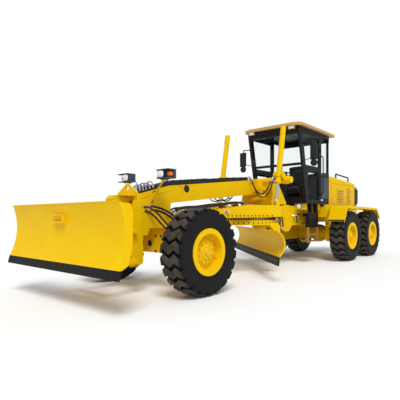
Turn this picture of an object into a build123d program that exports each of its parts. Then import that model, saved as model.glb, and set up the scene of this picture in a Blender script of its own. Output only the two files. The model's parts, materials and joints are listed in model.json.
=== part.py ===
from build123d import *
import math
import os

os.makedirs("parts", exist_ok=True)

# Motor grader. Millimetres, X forward, Y to the machine's left, Z up.
# Heights below are drawn from a datum that lies under the ground by datum_drop, and the
# exported frame lies datum_side left of the middle line, where the turned blade ends.
datum_drop = 43.0
datum_side = 105.0

# ---- Running gear -------------------------------------------------------------------
wheel_z = 675.0
tyre_radius = wheel_z - datum_drop
tyre_width = 400.0
tyre_lugs = 22
lug_depth = 32.0
rim_radius = 310.0
flange_radius = 337.0
track_half = 1090.0
front_axle_x = 3365.0
mid_axle_x = -2085.0
rear_axle_x = -3625.0
rim_sink = 60.0
hub_radius = 110.0
king_y = 800.0
king_radius = 32.0
king_gap = 0.05
lean_y = 690.0
lean_z = 560.0
lean_bar_z = 930.0
steer_arm = 210.0
arm_eye_y = king_y
tie_z = 760.0

# ---- Front frame --------------------------------------------------------------------
beam_half = 150.0
neck_x = 3800.0
neck_z = 1503.0
beam_front_x = 3063.0
beam_front_low_z = 1404.0
beam_front_top_z = 1692.0
beam_rear_x = 800.0
beam_rear_low_z = 1640.0
beam_rear_top_z = 1942.0
cover_height = 80.0
cover_half = 95.0
bolster_half = 300.0
mast_x = 3826.0
bolster_low_z = 1001.0
pivot_x = -285.0
pivot_low_z = 960.0
pivot_top_z = 1400.0
pivot_pin = 45.0
pin_gap = 0.05
ear_radius = 150.0
ear_thickness = 60.0

# ---- Lift cylinders -----------------------------------------------------------------
gimbal = (640.0, 745.0, 2030.0)
pole_top = (450.0, 745.0, 3050.0)
lift_eye = (744.3, 745.0, 1470.0)
trunnion_radius = 30.0
shift_up = (620.0, 330.0, 1580.0)
shift_down = (620.0, -420.0, 1465.0)
pole_radius = 56.0
lift_rod_radius = 32.0
bore_gap = 0.8

# ---- Drawbar, circle and blade ------------------------------------------------------
ball_x = 2990.0
ball_z = 1120.0
ball_pin = 45.0
circle_x = 945.0
circle_radius = 745.0
circle_inner = 600.0
circle_low_z = 1005.0
circle_top_z = 1150.0
blade_angle = -41.1
blade_half = 1830.0
blade_low_z = 350.0
blade_top_z = 930.0
blade_back = -365.0
blade_front = -250.0
blade_thickness = 22.0
edge_height = 150.0
rail_half = 1000.0
rail_back = -447.0
shoe_x = rail_back - 0.3
blade_rails = ((512.0, 562.0), (808.0, 858.0))
arm_y = 520.0
tilt_pin = (-575.0, 470.0)

# ---- Front dozer --------------------------------------------------------------------
plate_half = 340.0
dozer_half = 1400.0
dozer_taper = 50.0
dozer_top_half = dozer_half - dozer_taper
dozer_edge_half = 1408.0
dozer_edge_height = 110.0
dozer_top = (4920.0, 1350.0)
dozer_low = (4985.0, 490.0)
dozer_mid_x = 4863.0
dozer_pin = (3985.0, 540.0)
dozer_arm = (700.0, 20.0)
dozer_link_rise = 430.0
link_back = (dozer_pin[0], dozer_pin[1] + dozer_link_rise)
arm_front = (dozer_pin[0] + dozer_arm[0], dozer_pin[1] + dozer_arm[1])
link_front = (arm_front[0], arm_front[1] + dozer_link_rise)
dozer_barrel_eye = (front_axle_x + 735, 1430.0)
dozer_rod_eye = (dozer_pin[0] + 420, dozer_pin[1] + 60)

# ---- Rear frame, cab and hood -------------------------------------------------------
rail_outer = 380.0
rail_inner = 330.0
rail_low_z = 1020.0
rail_top_z = 1420.0
frame_rear_x = -4785.0
rail_front_x = -60.0
cab_half = 710.0
cab_wall = 50.0
cab_floor_z = 1475.0
floor_plate = 25.0
cab_top_z = 3225.0
cab_front_low_x = -657.0
cab_front_top_x = -295.0
cab_rear_x = -1900.0
door_front_low_x = -734.0
door_front_top_x = -412.0
door_rear_x = -1380.0
door_low_z = 1502.0
door_top_z = cab_top_z - 95.0
door_gap = 6.0
roof_z = cab_top_z + 70.0
hood_half = 550.0
hood_front_x = -1960.0
hood_rear_x = -4130.0
hood_low_z = 1450.0
hood_front_z = 2290.0
hood_rear_z = 2177.0
hood_wall = 40.0
hatch_front_x = -2420.0
hatch_rear_x = -4060.0
hatch_low_z = 1510.0
hatch_top_z = 2060.0
hatch_hinges = (1600.0, 1960.0)
guard_rear_x = -4835.0


# ---- Shape helpers ------------------------------------------------------------------
def block(x_from, x_to, y_from, y_to, z_from, z_to, mode=Mode.ADD):
    centre = ((x_from + x_to) / 2, (y_from + y_to) / 2, (z_from + z_to) / 2)
    with Locations(centre):
        Box(abs(x_to - x_from), abs(y_to - y_from), abs(z_to - z_from), mode=mode)


# Plate with an outline given in the side view as (x, z), between two widths.
def side_plate(points, y_from, y_to, mode=Mode.ADD, at=Location()):
    with BuildSketch(Plane(at * Plane.XZ.offset(-max(y_from, y_to)).location)) as outline:
        with BuildLine():
            Polyline(*points, close=True)
        make_face()
    extrude(outline.sketch, amount=abs(y_to - y_from), mode=mode)


# Plate with an outline given in plan as (x, y), between two heights.
def plan_plate(points, z_from, z_to, mode=Mode.ADD, at=Location()):
    with BuildSketch(Plane(at * Plane.XY.offset(min(z_from, z_to)).location)) as outline:
        with BuildLine():
            Polyline(*points, close=True)
        make_face()
    extrude(outline.sketch, amount=abs(z_to - z_from), mode=mode)


# Plate with an outline given in the front view as (y, z), between two lengths.
def cross_plate(points, x_from, x_to, mode=Mode.ADD, at=Location()):
    with BuildSketch(Plane(at * Plane.YZ.offset(min(x_from, x_to)).location)) as outline:
        with BuildLine():
            Polyline(*points, close=True)
        make_face()
    extrude(outline.sketch, amount=abs(x_to - x_from), mode=mode)


def cylinder_between(start, end, radius, mode=Mode.ADD):
    run = Vector(*end) - Vector(*start)
    with Locations(Plane(origin=start, z_dir=run).location):
        Cylinder(radius, run.length, align=(Align.CENTER, Align.CENTER, Align.MIN), mode=mode)


def along(start, end, share):
    return tuple(a + (b - a) * share for a, b in zip(start, end))


def drum_y(x, z, radius, y_from, y_to, mode=Mode.ADD):
    cylinder_between((x, min(y_from, y_to), z), (x, max(y_from, y_to), z), radius, mode)


def bent_tube(points, bend, radius):
    with BuildLine() as path:
        FilletPolyline(*points, radius=bend)
    with BuildSketch(Plane(origin=path.line @ 0, z_dir=path.line % 0)) as section:
        Circle(radius)
    sweep(section.sketch, path=path.line)


def export(part, name):
    placed = part.moved(Location((0, -datum_side, -datum_drop)))
    placed.label = name
    export_step(placed, "parts/" + name + ".step")


# ---- Wheels -------------------------------------------------------------------------
# Tyre stations across its width: share of the half width, radius on a lug, radius
# between lugs, and how far the lug has swept round there, in lug spacings.
bead_radius = (rim_radius + 0.05) / math.cos(math.pi / (2 * tyre_lugs))
tyre_stations = (
    (-0.83, bead_radius, bead_radius, 0.00),
    (-0.835, 341.0, 341.0, 0.00),
    (-1.00, 490.0, 490.0, 0.10),
    (-0.90, tyre_radius - 22, tyre_radius - 22 - lug_depth, 0.10),
    (-0.50, tyre_radius - 2, tyre_radius - lug_depth, -0.22),
    (0.00, tyre_radius, tyre_radius - lug_depth + 2, 0.18),
    (0.50, tyre_radius - 2, tyre_radius - lug_depth, -0.22),
    (0.90, tyre_radius - 22, tyre_radius - 22 - lug_depth, 0.10),
    (1.00, 490.0, 490.0, 0.10),
    (0.835, 341.0, 341.0, 0.00),
    (0.83, bead_radius, bead_radius, 0.00),
)


def tyre_ring(share, lug_radius, groove_radius, sweep):
    ring = []
    for step in range(2 * tyre_lugs):
        angle = 2 * math.pi * (step / 2 + sweep) / tyre_lugs
        radius = groove_radius if step % 2 else lug_radius
        ring.append(Vector(radius * math.sin(angle), share * tyre_width / 2, radius * math.cos(angle)))
    return ring


def triangle(a, b, c):
    return Face(Wire.make_polygon([a, b, c], close=True))


# The casing with its chevron lugs, as one closed skin of flat facets about the hub.
def tyre_casing():
    rings = [tyre_ring(*station) for station in tyre_stations]
    rings.append(rings[0])
    facets = []
    for one, other in zip(rings, rings[1:]):
        for i in range(len(one)):
            j = (i + 1) % len(one)
            if i % 2:
                facets.append(triangle(one[i], other[j], other[i]))
                facets.append(triangle(one[i], one[j], other[j]))
            else:
                facets.append(triangle(one[i], one[j], other[i]))
                facets.append(triangle(one[j], other[j], other[i]))
    return Solid(Shell(facets))


casing = tyre_casing()


# Rim profile as (radius, distance outward from the wheel's centre plane).
rim_profile = (
    (0, 20),
    (hub_radius, 20),
    (hub_radius, 75),
    (150, 75),
    (215, 30),
    (277, 30),
    (277, 168),
    (flange_radius, 168),
    (flange_radius, 182),
    (262, 182),
    (260, 60),
    (225, 60),
    (165, 105),
    (hub_radius + 8, 105),
    (hub_radius - 12, 130),
    (0, 130),
)


def rim_solid(x, y, side):
    with BuildSketch(Plane.YZ.offset(x)) as half:
        with BuildLine():
            Polyline(*[(y + side * out, wheel_z + radius) for radius, out in rim_profile], close=True)
        make_face()
    axle = Axis((x, y, wheel_z), (0, side, 0))
    revolve(half.sketch, axis=axle)
    with BuildSketch(Plane.YZ.offset(x)) as barrel:
        with BuildLine():
            low = y - side * 182
            high = y + side * 168
            Polyline(
                (low, wheel_z + 277),
                (high, wheel_z + 277),
                (high, wheel_z + rim_radius),
                (y - side * 168, wheel_z + rim_radius),
                (y - side * 168, wheel_z + flange_radius),
                (low, wheel_z + flange_radius),
                close=True,
            )
        make_face()
    revolve(barrel.sketch, axis=axle)


# Wheels: name, axle x, side.
wheels = (
    ("front_left", front_axle_x, 1),
    ("front_right", front_axle_x, -1),
    ("mid_left", mid_axle_x, 1),
    ("mid_right", mid_axle_x, -1),
    ("rear_left", rear_axle_x, 1),
    ("rear_right", rear_axle_x, -1),
)
for place, axle_x, side in wheels:
    with BuildPart() as tyre:
        with Locations((axle_x, side * track_half, wheel_z)):
            add(casing)
    export(tyre.part, "tyre_" + place)
    with BuildPart() as rim:
        rim_solid(axle_x, side * track_half, side)
    export(rim.part, "rim_" + place)


# ---- Front axle, knuckles and tie rod -----------------------------------------------
def axle_beam():
    half = [(0, 620), (470, 620), (470, 860), (0, 900)]
    cross_plate(half + [(-y, z) for y, z in reversed(half[1:3])], front_axle_x - 110, front_axle_x + 110)
    block(front_axle_x - 150, front_axle_x + 150, -230, 230, 860, bolster_low_z)
    for side in (1, -1):
        tongue = ((460, 640), (560, 500), (690, 490), (725, 540), (725, 620), (640, 700), (460, 820))
        cross_plate([(side * y, z) for y, z in tongue], front_axle_x - 60, front_axle_x + 60)


# Leaning fork: two plates on the axle's end, joined outboard by the kingpin's two lugs.
def lean_fork(side):
    outline = ((650, 500), (760, 495), (770, 860), (735, 980), (645, 980), (640, 640))
    for x_from, x_to in ((60, 92), (-92, -60)):
        cross_plate([(side * y, z) for y, z in outline], front_axle_x + x_from, front_axle_x + x_to)
    block(front_axle_x - 95, front_axle_x - 55, side * 668, side * 775, 692, 768, Mode.SUBTRACT)
    for low, high in ((495, 560), (805, 860)):
        block(front_axle_x - 92, front_axle_x + 92, side * 742, side * 800, low, high)
        with Locations((front_axle_x, side * king_y, (low + high) / 2)):
            Cylinder(70, high - low)
    cylinder_between((front_axle_x, side * king_y, 480), (front_axle_x, side * king_y, 875), king_radius)


def lean_bar():
    back = front_axle_x - 130
    for side in (1, -1):
        front = front_axle_x + 92
        cylinder_between((back - 22, side * lean_y, lean_bar_z), (front, side * lean_y, lean_bar_z), 26)
        cylinder_between((back - 20, side * lean_y, lean_bar_z), (back + 20, side * lean_y, lean_bar_z), 38)
    cylinder_between((back, -lean_y, lean_bar_z), (back, lean_y, lean_bar_z), 22)


with BuildPart() as front_axle:
    axle_beam()
    for side in (1, -1):
        lean_fork(side)
    lean_bar()
export(front_axle.part, "front_axle")

for name, side in (("left", 1), ("right", -1)):
    with BuildPart() as knuckle:
        with Locations((front_axle_x, side * king_y, 682.5)):
            Cylinder(66, 234)
        drum_y(front_axle_x, wheel_z, 72, side * 850, side * 900)
        drum_y(front_axle_x, wheel_z, 90, side * 900, side * (track_half + 19.7))
        arm_x = front_axle_x - steer_arm
        block(arm_x, front_axle_x, side * (arm_eye_y - 20), side * (arm_eye_y + 18), 700, tie_z)
        with Locations((front_axle_x - steer_arm, side * arm_eye_y, tie_z - 15)):
            Cylinder(36, 30)
        with Locations((front_axle_x - steer_arm, side * arm_eye_y, tie_z + 25)):
            Cylinder(20, 50)
        with Locations((front_axle_x, side * king_y, 682.5)):
            Cylinder(king_radius + king_gap, 400, mode=Mode.SUBTRACT)
    export(knuckle.part, "knuckle_" + name)

with BuildPart() as tie_rod:
    reach = arm_eye_y
    tie_x = front_axle_x - steer_arm
    cylinder_between((tie_x, -reach + 30, tie_z + 26), (tie_x, reach - 30, tie_z + 26), 20)
    for side in (1, -1):
        with Locations((tie_x, side * reach, tie_z + 26)):
            Cylinder(38, 46)
            Cylinder(20 + king_gap, 80, mode=Mode.SUBTRACT)
export(tie_rod.part, "tie_rod")


# ---- Front frame --------------------------------------------------------------------
# Main beam from the gooseneck's nose to the saddle, then down to the hitch.
beam_outline = (
    (neck_x, neck_z),
    (neck_x, neck_z - 210),
    (front_axle_x + 330, 1180),
    (front_axle_x + 300, bolster_low_z),
    (front_axle_x - 250, bolster_low_z),
    (front_axle_x - 290, 1360),
    (beam_front_x, beam_front_low_z),
    (beam_rear_x, beam_rear_low_z),
    (560, 1640),
    (330, 1600),
    (90, 1330),
    (-40, 1290),
    (-40, 1500),
    (120, 1660),
    (330, 1900),
    (430, 1980),
    (700, 1980),
    (beam_rear_x, beam_rear_top_z),
    (beam_front_x, beam_front_top_z),
)

# Column from the saddle down to the hitch: wide above the rear frame, narrow inside it.
column_wide = (
    (300, 1935),
    (40, 1850),
    (-257, 1490),
    (-257, 1448),
    (400, 1448),
    (350, 1640),
)
column_narrow = (
    (330, 1560),
    (20, 1250),
    (-45, pivot_low_z - 60),
    (pivot_x + 170, pivot_low_z - 60),
    (pivot_x + 170, pivot_top_z + 60),
    (60, 1560),
    (240, 1700),
)
arm_tube = (470.0, 1930.0, 68.0, 950.0)


def hitch_ear(z_from, z_to):
    block(pivot_x, pivot_x + 240, -ear_radius, ear_radius, z_from, z_to)
    with Locations((pivot_x, 0, (z_from + z_to) / 2)):
        Cylinder(ear_radius, z_to - z_from)


def saddle():
    block(300, 700, -270, 270, 1700, 1960)
    x, z, radius, reach = arm_tube
    drum_y(x, z, radius, -reach, reach)
    for side in (1, -1):
        drum_y(x, z, radius + 14, side * (reach - 190), side * (reach - 70))


def gimbal_yoke(side):
    x, y, z = gimbal
    tube_x, tube_z = arm_tube[0], arm_tube[1]
    ear = ((tube_x - 10, tube_z + 60), (tube_x + 30, tube_z - 55), (x + 20, z - 50), (x, z + 54))
    for inner, outer in ((y - 105, y - 77), (y + 77, y + 105)):
        side_plate(ear, side * inner, side * outer)
        drum_y(x, z, 55, side * inner, side * outer)
    drum_y(x, z, trunnion_radius + pin_gap, side * (y - 110), side * (y + 110), Mode.SUBTRACT)


# Front mast: a house-shaped plate across the neck's nose, cheeks that carry the dozer's
# arms and links, and a lug pair for its lift cylinder.
mast_half = ((0, 1694), (236, 1545), (plate_half, 1057), (plate_half, 500))
cheek = (
    (mast_x - 26, 1180),
    (mast_x - 26, 500),
    (mast_x + 60, 455),
    (mast_x + 190, 455),
    (mast_x + 225, 500),
    (mast_x + 205, 1000),
    (mast_x + 130, 1400),
    (mast_x + 20, 1440),
    (mast_x, 1300),
)


def front_mast():
    cross_plate(list(mast_half) + [(-y, z) for y, z in reversed(mast_half[1:])], mast_x - 26, mast_x)
    cylinder_between((mast_x - 40, 0, 1610), (mast_x + 10, 0, 1610), 38, Mode.SUBTRACT)
    block(front_axle_x + 280, mast_x - 20, -300, 300, 960, 1400)
    block(front_axle_x + 330, mast_x - 20, -330, 330, 900, 980)
    for side in (1, -1):
        side_plate(cheek, side * (plate_half - 30), side * plate_half)
        drum_y(dozer_pin[0], dozer_pin[1], 30, side * (plate_half - 40), side * (plate_half + 70))
        drum_y(link_back[0], link_back[1], 24, side * (plate_half - 40), side * (plate_half + 60))
        x, z = dozer_barrel_eye
        lug = ((mast_x - 10, z - 90), (mast_x - 10, z + 45), (x, z + 50), (x + 50, z + 10), (x + 40, z - 45))
        side_plate(lug, side * 58, side * 80)
    drum_y(dozer_barrel_eye[0], dozer_barrel_eye[1], 30, -80, 80)
    block(mast_x - 10, dozer_barrel_eye[0] - 60, -190, 190, 1487, 1499)


with BuildPart() as front_frame:
    side_plate(beam_outline, -beam_half, beam_half)
    block(front_axle_x - 250, front_axle_x + 300, -bolster_half, bolster_half, bolster_low_z, 1180)
    side_plate(column_wide, -400, 400)
    side_plate(column_narrow, -170, 170)
    hitch_ear(pivot_top_z, pivot_top_z + ear_thickness)
    hitch_ear(pivot_low_z - ear_thickness, pivot_low_z)
    with Locations((pivot_x, 0, (pivot_low_z + pivot_top_z) / 2)):
        Cylinder(pivot_pin + pin_gap, 700, mode=Mode.SUBTRACT)
    saddle()
    for side in (1, -1):
        gimbal_yoke(side)
        ball_cheek = (
            (ball_x - 70, 1060),
            (ball_x - 70, 1180),
            (front_axle_x - 240, 1180),
            (front_axle_x - 240, 1060),
        )
        side_plate(ball_cheek, side * 75, side * 115)
        for x_from, x_to in ((50, 70), (-70, -50)):
            block(shift_up[0] + x_from, shift_up[0] + x_to, shift_up[1] - 45, shift_up[1] + 45, 1535, 1760)
    block(shift_up[0] - 70, shift_up[0] + 70, 260, shift_up[1] + 45, 1740, 1800)
    drum_y(ball_x, ball_z, ball_pin, -115, 115)
    cylinder_between((shift_up[0] - 70, shift_up[1], shift_up[2]), (shift_up[0] + 70, shift_up[1], shift_up[2]), 24)
    front_mast()
    # Blind holes in the beam's cheeks.
    for side in (1, -1):
        drum_y(2701, 1660, 65, side * (beam_half - 30), side * (beam_half + 5), Mode.SUBTRACT)
export(front_frame.part, "front_frame")

with BuildPart() as beam_cover:
    cover = (
        (neck_x - 20, neck_z),
        (beam_front_x, beam_front_top_z),
        (beam_rear_x + 20, beam_rear_top_z - 2),
        (beam_rear_x + 20, beam_rear_top_z + cover_height - 20),
        (beam_front_x - 60, beam_front_top_z + cover_height + 8),
        (neck_x - 20, neck_z + 60),
    )
    side_plate(cover, -cover_half, cover_half)
    side_plate(beam_outline, -beam_half, beam_half, Mode.SUBTRACT)
export(beam_cover.part, "beam_cover")

# Head lamps: one housing per side, with an open recess for the indicator outboard of the
# lens, on a slanted bar from the gooseneck's cheek.
lamp_x = front_axle_x + 110
lamp_y = (355.0, 625.0)
lamp_z = (1752.0, 1893.0)
with BuildPart() as head_lamps:
    for side in (1, -1):
        block(lamp_x - 80, lamp_x + 60, side * lamp_y[0], side * lamp_y[1], lamp_z[0], lamp_z[1])
        block(lamp_x + 50, lamp_x + 85, side * lamp_y[0], side * lamp_y[1], lamp_z[0], lamp_z[0] + 10)
        block(lamp_x + 50, lamp_x + 85, side * lamp_y[0], side * lamp_y[1], lamp_z[1] - 10, lamp_z[1])
        block(lamp_x - 40, lamp_x + 100, side * (lamp_y[0] + 150), side * (lamp_y[1] + 10),
              lamp_z[0] + 18, lamp_z[1] - 18, Mode.SUBTRACT)
        top = lamp_z[0] + 5
        bar = ((beam_half, 1390), (beam_half, 1450), (440, top), (480, top), (440, top - 25))
        cross_plate([(side * y, z) for y, z in bar], lamp_x - 6, lamp_x + 14)
export(head_lamps.part, "head_lamps")


# ---- Lift cylinders: barrel swinging in the yoke, rod down to the drawbar's clevis --
for name, side in (("left", 1), ("right", -1)):
    centre = (gimbal[0], side * gimbal[1], gimbal[2])
    top = (pole_top[0], side * pole_top[1], pole_top[2])
    eye = (lift_eye[0], side * lift_eye[1], lift_eye[2])
    barrel_low = along(centre, eye, 0.30)
    with BuildPart() as lift_barrel:
        cylinder_between(barrel_low, top, pole_radius)
        cylinder_between(along(centre, eye, -0.08), along(centre, eye, 0.08), pole_radius + 14)
        drum_y(gimbal[0], gimbal[2], trunnion_radius, side * (gimbal[1] - 102), side * (gimbal[1] + 102))
        cylinder_between(barrel_low, along(centre, eye, 0.22), pole_radius + 8)
        bore = lift_rod_radius + bore_gap
        cylinder_between(along(centre, eye, 0.40), along(top, centre, 0.04), bore, Mode.SUBTRACT)
    export(lift_barrel.part, "lift_barrel_" + name)
    with BuildPart() as lift_rod:
        cylinder_between(along(centre, eye, 0.95), along(top, centre, 0.60), lift_rod_radius)
        drum_y(eye[0], eye[2], 46, eye[1] - 32.7, eye[1] + 32.7)
    export(lift_rod.part, "lift_rod_" + name)


# ---- Drawbar ------------------------------------------------------------------------
drawbar_plan = ((3050, 70), (2870, 70), (2840, 120), (2700, 170), (2385, 430), (1100, 700), (900, 815),
                (640, 815), (560, 740))
drawbar_side = ((3000, 1075), (2076, 1150), (560, 1165), (560, 1375), (826, 1399), (1495, 1399), (2385, 1280),
                (3000, 1175))
drawbar_inner = ((2350, 210), (1800, 470), (1500, 560), (900, 600), (740, 480), (720, 200))


def mirrored(points):
    return list(points) + [(x, -y) for x, y in reversed(points)]


with BuildPart() as drawbar:
    side_plate(drawbar_side, -800, 800)
    with BuildSketch() as outline:
        with BuildLine():
            Polyline(*mirrored(drawbar_plan), close=True)
        make_face()
        with BuildLine():
            Polyline(*mirrored(drawbar_inner), close=True)
        make_face(mode=Mode.SUBTRACT)
    extrude(outline.sketch, amount=2000, mode=Mode.INTERSECT)
    block(circle_x - 130, circle_x + 130, -600, 600, 1165, 1250)
    block(circle_x + 430, circle_x + 700, -560, 560, 1165, 1205)
    drum_y(ball_x, ball_z, 65, -70, 70)
    drum_y(ball_x, ball_z, ball_pin + pin_gap, -80, 80, Mode.SUBTRACT)
    with Locations((circle_x + 560, 0, 1300)):
        Cylinder(110, 190)
    with Locations((circle_x + 560, 0, 1410)):
        Cylinder(70, 40)
    for side in (1, -1):
        for inner, outer in ((33, 51), (-51, -33)):
            y = side * (lift_eye[1] + inner)
            lug = ((lift_eye[0] - 80, 1300), (lift_eye[0] + 80, 1300), (lift_eye[0] + 45, lift_eye[2] + 35),
                   (lift_eye[0] - 45, lift_eye[2] + 35))
            side_plate(lug, y, side * (lift_eye[1] + outer))
    for x_from, x_to in ((68, 86), (-78, -60)):
        x, y, z = shift_down
        block(x + x_from, x + x_to, y - 45, y + 45, 1300, z + 35)
    for x in (circle_x + 303, circle_x - 303):
        for side in (1, -1):
            block(x - 70, x + 70, side * 550, side * 650, circle_top_z + 0.3, 1166)
export(drawbar.part, "drawbar")


# ---- Circle with its two blade arms, set at the blade's angle -----------------------
blade_frame = Location((circle_x, 0, 0), (0, 0, blade_angle))
arm_side = ((-60, 1050), (-640, 1050), (-690, 970), (-690, 760), (-645, 420), (-585, 400), (-520, 420),
            (-517, 560), (-555, 640), (-555, 900), (-475, 985), (-60, 1000))

with BuildPart() as circle:
    with Locations((circle_x, 0, (circle_low_z + circle_top_z) / 2)):
        Cylinder(circle_radius, circle_top_z - circle_low_z)
        Cylinder(circle_inner, 300, mode=Mode.SUBTRACT)
    for side in (1, -1):
        side_plate(arm_side, side * (arm_y - 35), side * (arm_y + 35), at=blade_frame)
    for side in (1, -1):
        x, z = tilt_pin
        pin_at = blade_frame * Location((x, side * arm_y, z), (90, 0, 0))
        with Locations(pin_at):
            Cylinder(28 + pin_gap, 100, mode=Mode.SUBTRACT)
export(circle.part, "circle")


# Tilting bracket: a plate pair beside each arm, with shoes round the blade's two rails.
def bracket_side(side):
    x, z = tilt_pin
    outline = ((x - 55, z - 60), (shoe_x, z - 60), (shoe_x, 880), (-495, 900), (x + 60, 780), (x - 55, z + 60))
    inner = side * (arm_y - 41)
    side_plate(outline, inner, inner - side * 30, at=blade_frame)
    outer = side * (arm_y + 41)
    side_plate(outline, outer, outer + side * 30, at=blade_frame)
    with Locations(blade_frame * Location((x, side * arm_y, z), (90, 0, 0))):
        Cylinder(28, 150)
    for low, high in blade_rails:
        shoe = ((shoe_x, low - 22), (shoe_x, high + 22), (shoe_x - 50, high + 22), (shoe_x - 50, low - 22))
        side_plate(shoe, side * (arm_y - 71), side * (arm_y + 71), at=blade_frame)


with BuildPart() as blade_bracket:
    for side in (1, -1):
        bracket_side(side)
export(blade_bracket.part, "blade_bracket")


# ---- Moldboard ----------------------------------------------------------------------
def blade_section():
    low = (blade_front, blade_low_z + edge_height)
    mid = (blade_back + 20, (blade_low_z + blade_top_z) / 2 + 30)
    top = (blade_front + 25, blade_top_z)
    with BuildSketch(Plane(blade_frame * Plane.XZ.offset(-blade_half).location)) as section:
        with BuildLine():
            ThreePointArc(low, mid, top)
            Line(top, (top[0] - 20, top[1] + 6))
            back = (mid[0] - blade_thickness, mid[1])
            ThreePointArc((top[0] - 20, top[1] + 6), back, (low[0] - blade_thickness, low[1]))
            Line((low[0] - blade_thickness, low[1]), low)
        make_face()
    return section.sketch


with BuildPart() as moldboard:
    for low, high in blade_rails:
        rail = ((rail_back, low), (rail_back, high), (-150, high), (-150, low))
        side_plate(rail, -rail_half, rail_half, at=blade_frame)
    with BuildSketch(Plane(blade_frame * Plane.XZ.offset(-rail_half - 5).location)) as front_void:
        with BuildLine():
            low = (blade_front - 12, blade_low_z + edge_height)
            top = (blade_front + 13, blade_top_z)
            ThreePointArc(low, (blade_back + 8, (blade_low_z + blade_top_z) / 2 + 30), top)
            Polyline(top, (100, blade_top_z), (100, low[1]), low)
        make_face()
    extrude(front_void.sketch, amount=2 * rail_half + 10, mode=Mode.SUBTRACT)
    extrude(blade_section(), amount=2 * blade_half)
export(moldboard.part, "moldboard")

with BuildPart() as cutting_edge:
    strip = (
        (blade_front + 16, blade_low_z),
        (blade_front, blade_low_z + edge_height - 0.3),
        (blade_front - 22, blade_low_z + edge_height - 0.3),
        (blade_front - 6, blade_low_z),
    )
    side_plate(strip, -blade_half, blade_half, at=blade_frame)
export(cutting_edge.part, "cutting_edge")


# ---- Front dozer: lower arms and upper links of equal length hold the blade upright --

def link_bar(start, end, half_height, eye, bore, y_from, y_to):
    run_x, run_z = end[0] - start[0], end[1] - start[1]
    size = math.hypot(run_x, run_z)
    nx, nz = -run_z / size * half_height, run_x / size * half_height
    bar = ((start[0] + nx, start[1] + nz), (end[0] + nx, end[1] + nz), (end[0] - nx, end[1] - nz),
           (start[0] - nx, start[1] - nz))
    side_plate(bar, y_from, y_to)
    for x, z in (start, end):
        drum_y(x, z, eye, y_from, y_to)
        drum_y(x, z, bore, y_from - 5, y_to + 5, Mode.SUBTRACT)


with BuildPart() as dozer_arms:
    for side in (1, -1):
        y_low, y_high = sorted((side * (plate_half + 6), side * (plate_half + 56)))
        link_bar(dozer_pin, arm_front, 40, 60, 30 + pin_gap, y_low, y_high)
    block(dozer_pin[0] + 380, dozer_pin[0] + 460, -plate_half - 20, plate_half + 20, 495, 540)
    for side in (1, -1):
        x, z = dozer_rod_eye
        side_plate(((x - 50, z + 45), (x + 50, z + 45), (x + 60, 530), (x - 60, 530)), side * 37, side * 60)
export(dozer_arms.part, "dozer_arms")

with BuildPart() as dozer_links:
    for side in (1, -1):
        y_low, y_high = sorted((side * (plate_half + 6), side * (plate_half + 50)))
        link_bar(link_back, link_front, 26, 44, 24 + pin_gap, y_low, y_high)
export(dozer_links.part, "dozer_links")


def dozer_face(skin, reach):
    low = (dozer_low[0] - 28 - skin, dozer_low[1] + dozer_edge_height)
    top = (dozer_top[0] - skin, dozer_top[1])
    with BuildSketch(Plane.XZ.offset(-dozer_half)) as section:
        with BuildLine():
            ThreePointArc(low, (dozer_mid_x - skin, 950), top)
            Polyline(top, (top[0] + reach, top[1]), (low[0] + reach, low[1]), low)
        make_face()
    return section.sketch


# The blade's ends lean in towards its top; a wing closes each end behind the face.
def end_wing(side):
    leaning = (
        (dozer_top_half - 20, dozer_top[1]),
        (dozer_top_half, dozer_top[1]),
        (dozer_half, dozer_low[1] + 90),
        (dozer_half - 20, dozer_low[1] + 90),
    )
    outline = ((4905, 1340), (4770, 1325), (4740, 1230), (4753, 1088), (4775, 841), (4840, 645), (4925, 600),
               (4940, 612), (4885, 750), (4852, 950), (4866, 1130))
    with BuildPart() as wing:
        cross_plate([(side * y, z) for y, z in leaning], 4700, 4980)
        side_plate(outline, side * (dozer_top_half - 50), side * (dozer_half + 50), Mode.INTERSECT)
    add(wing.part)


with BuildPart() as dozer_blade:
    for low, high in ((640, 740), (1150, 1250)):
        block(4755, dozer_top[0] + 20, -dozer_top_half + 60, dozer_top_half - 60, low, high)
    extrude(dozer_face(12, 300), amount=2 * dozer_half, mode=Mode.SUBTRACT)
    with BuildSketch(Plane.XZ.offset(-dozer_half)) as skin:
        add(dozer_face(25, 300))
        add(dozer_face(0, 300), mode=Mode.SUBTRACT)
    extrude(skin.sketch, amount=2 * dozer_half)
    for side in (1, -1):
        past_end = (
            (dozer_top_half, dozer_top[1] + 1),
            (dozer_half, dozer_low[1] + dozer_edge_height - 1),
            (dozer_half + 50, dozer_low[1] + dozer_edge_height - 1),
            (dozer_half + 50, dozer_top[1] + 1),
        )
        cross_plate([(side * y, z) for y, z in past_end], 4600, 5200, Mode.SUBTRACT)
        end_wing(side)
        for inner in (plate_half - 34, plate_half + 62):
            lug = ((4640, 490), (4640, 1050), (4735, 1130), (4862, 1130), (4850, 900), (4895, 640), (4760, 490))
            side_plate(lug, side * inner, side * (inner + 30))
        drum_y(arm_front[0], arm_front[1], 30, side * (plate_half - 34), side * (plate_half + 92))
        drum_y(link_front[0], link_front[1], 24, side * (plate_half - 34), side * (plate_half + 92))
export(dozer_blade.part, "dozer_blade")

with BuildPart() as dozer_edge:
    strip = (
        (dozer_low[0], dozer_low[1]),
        (dozer_low[0] - 28, dozer_low[1] + dozer_edge_height - 0.3),
        (dozer_low[0] - 53, dozer_low[1] + dozer_edge_height - 0.3),
        (dozer_low[0] - 25, dozer_low[1]),
    )
    side_plate(strip, -dozer_edge_half, dozer_edge_half)
export(dozer_edge.part, "dozer_edge")

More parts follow.
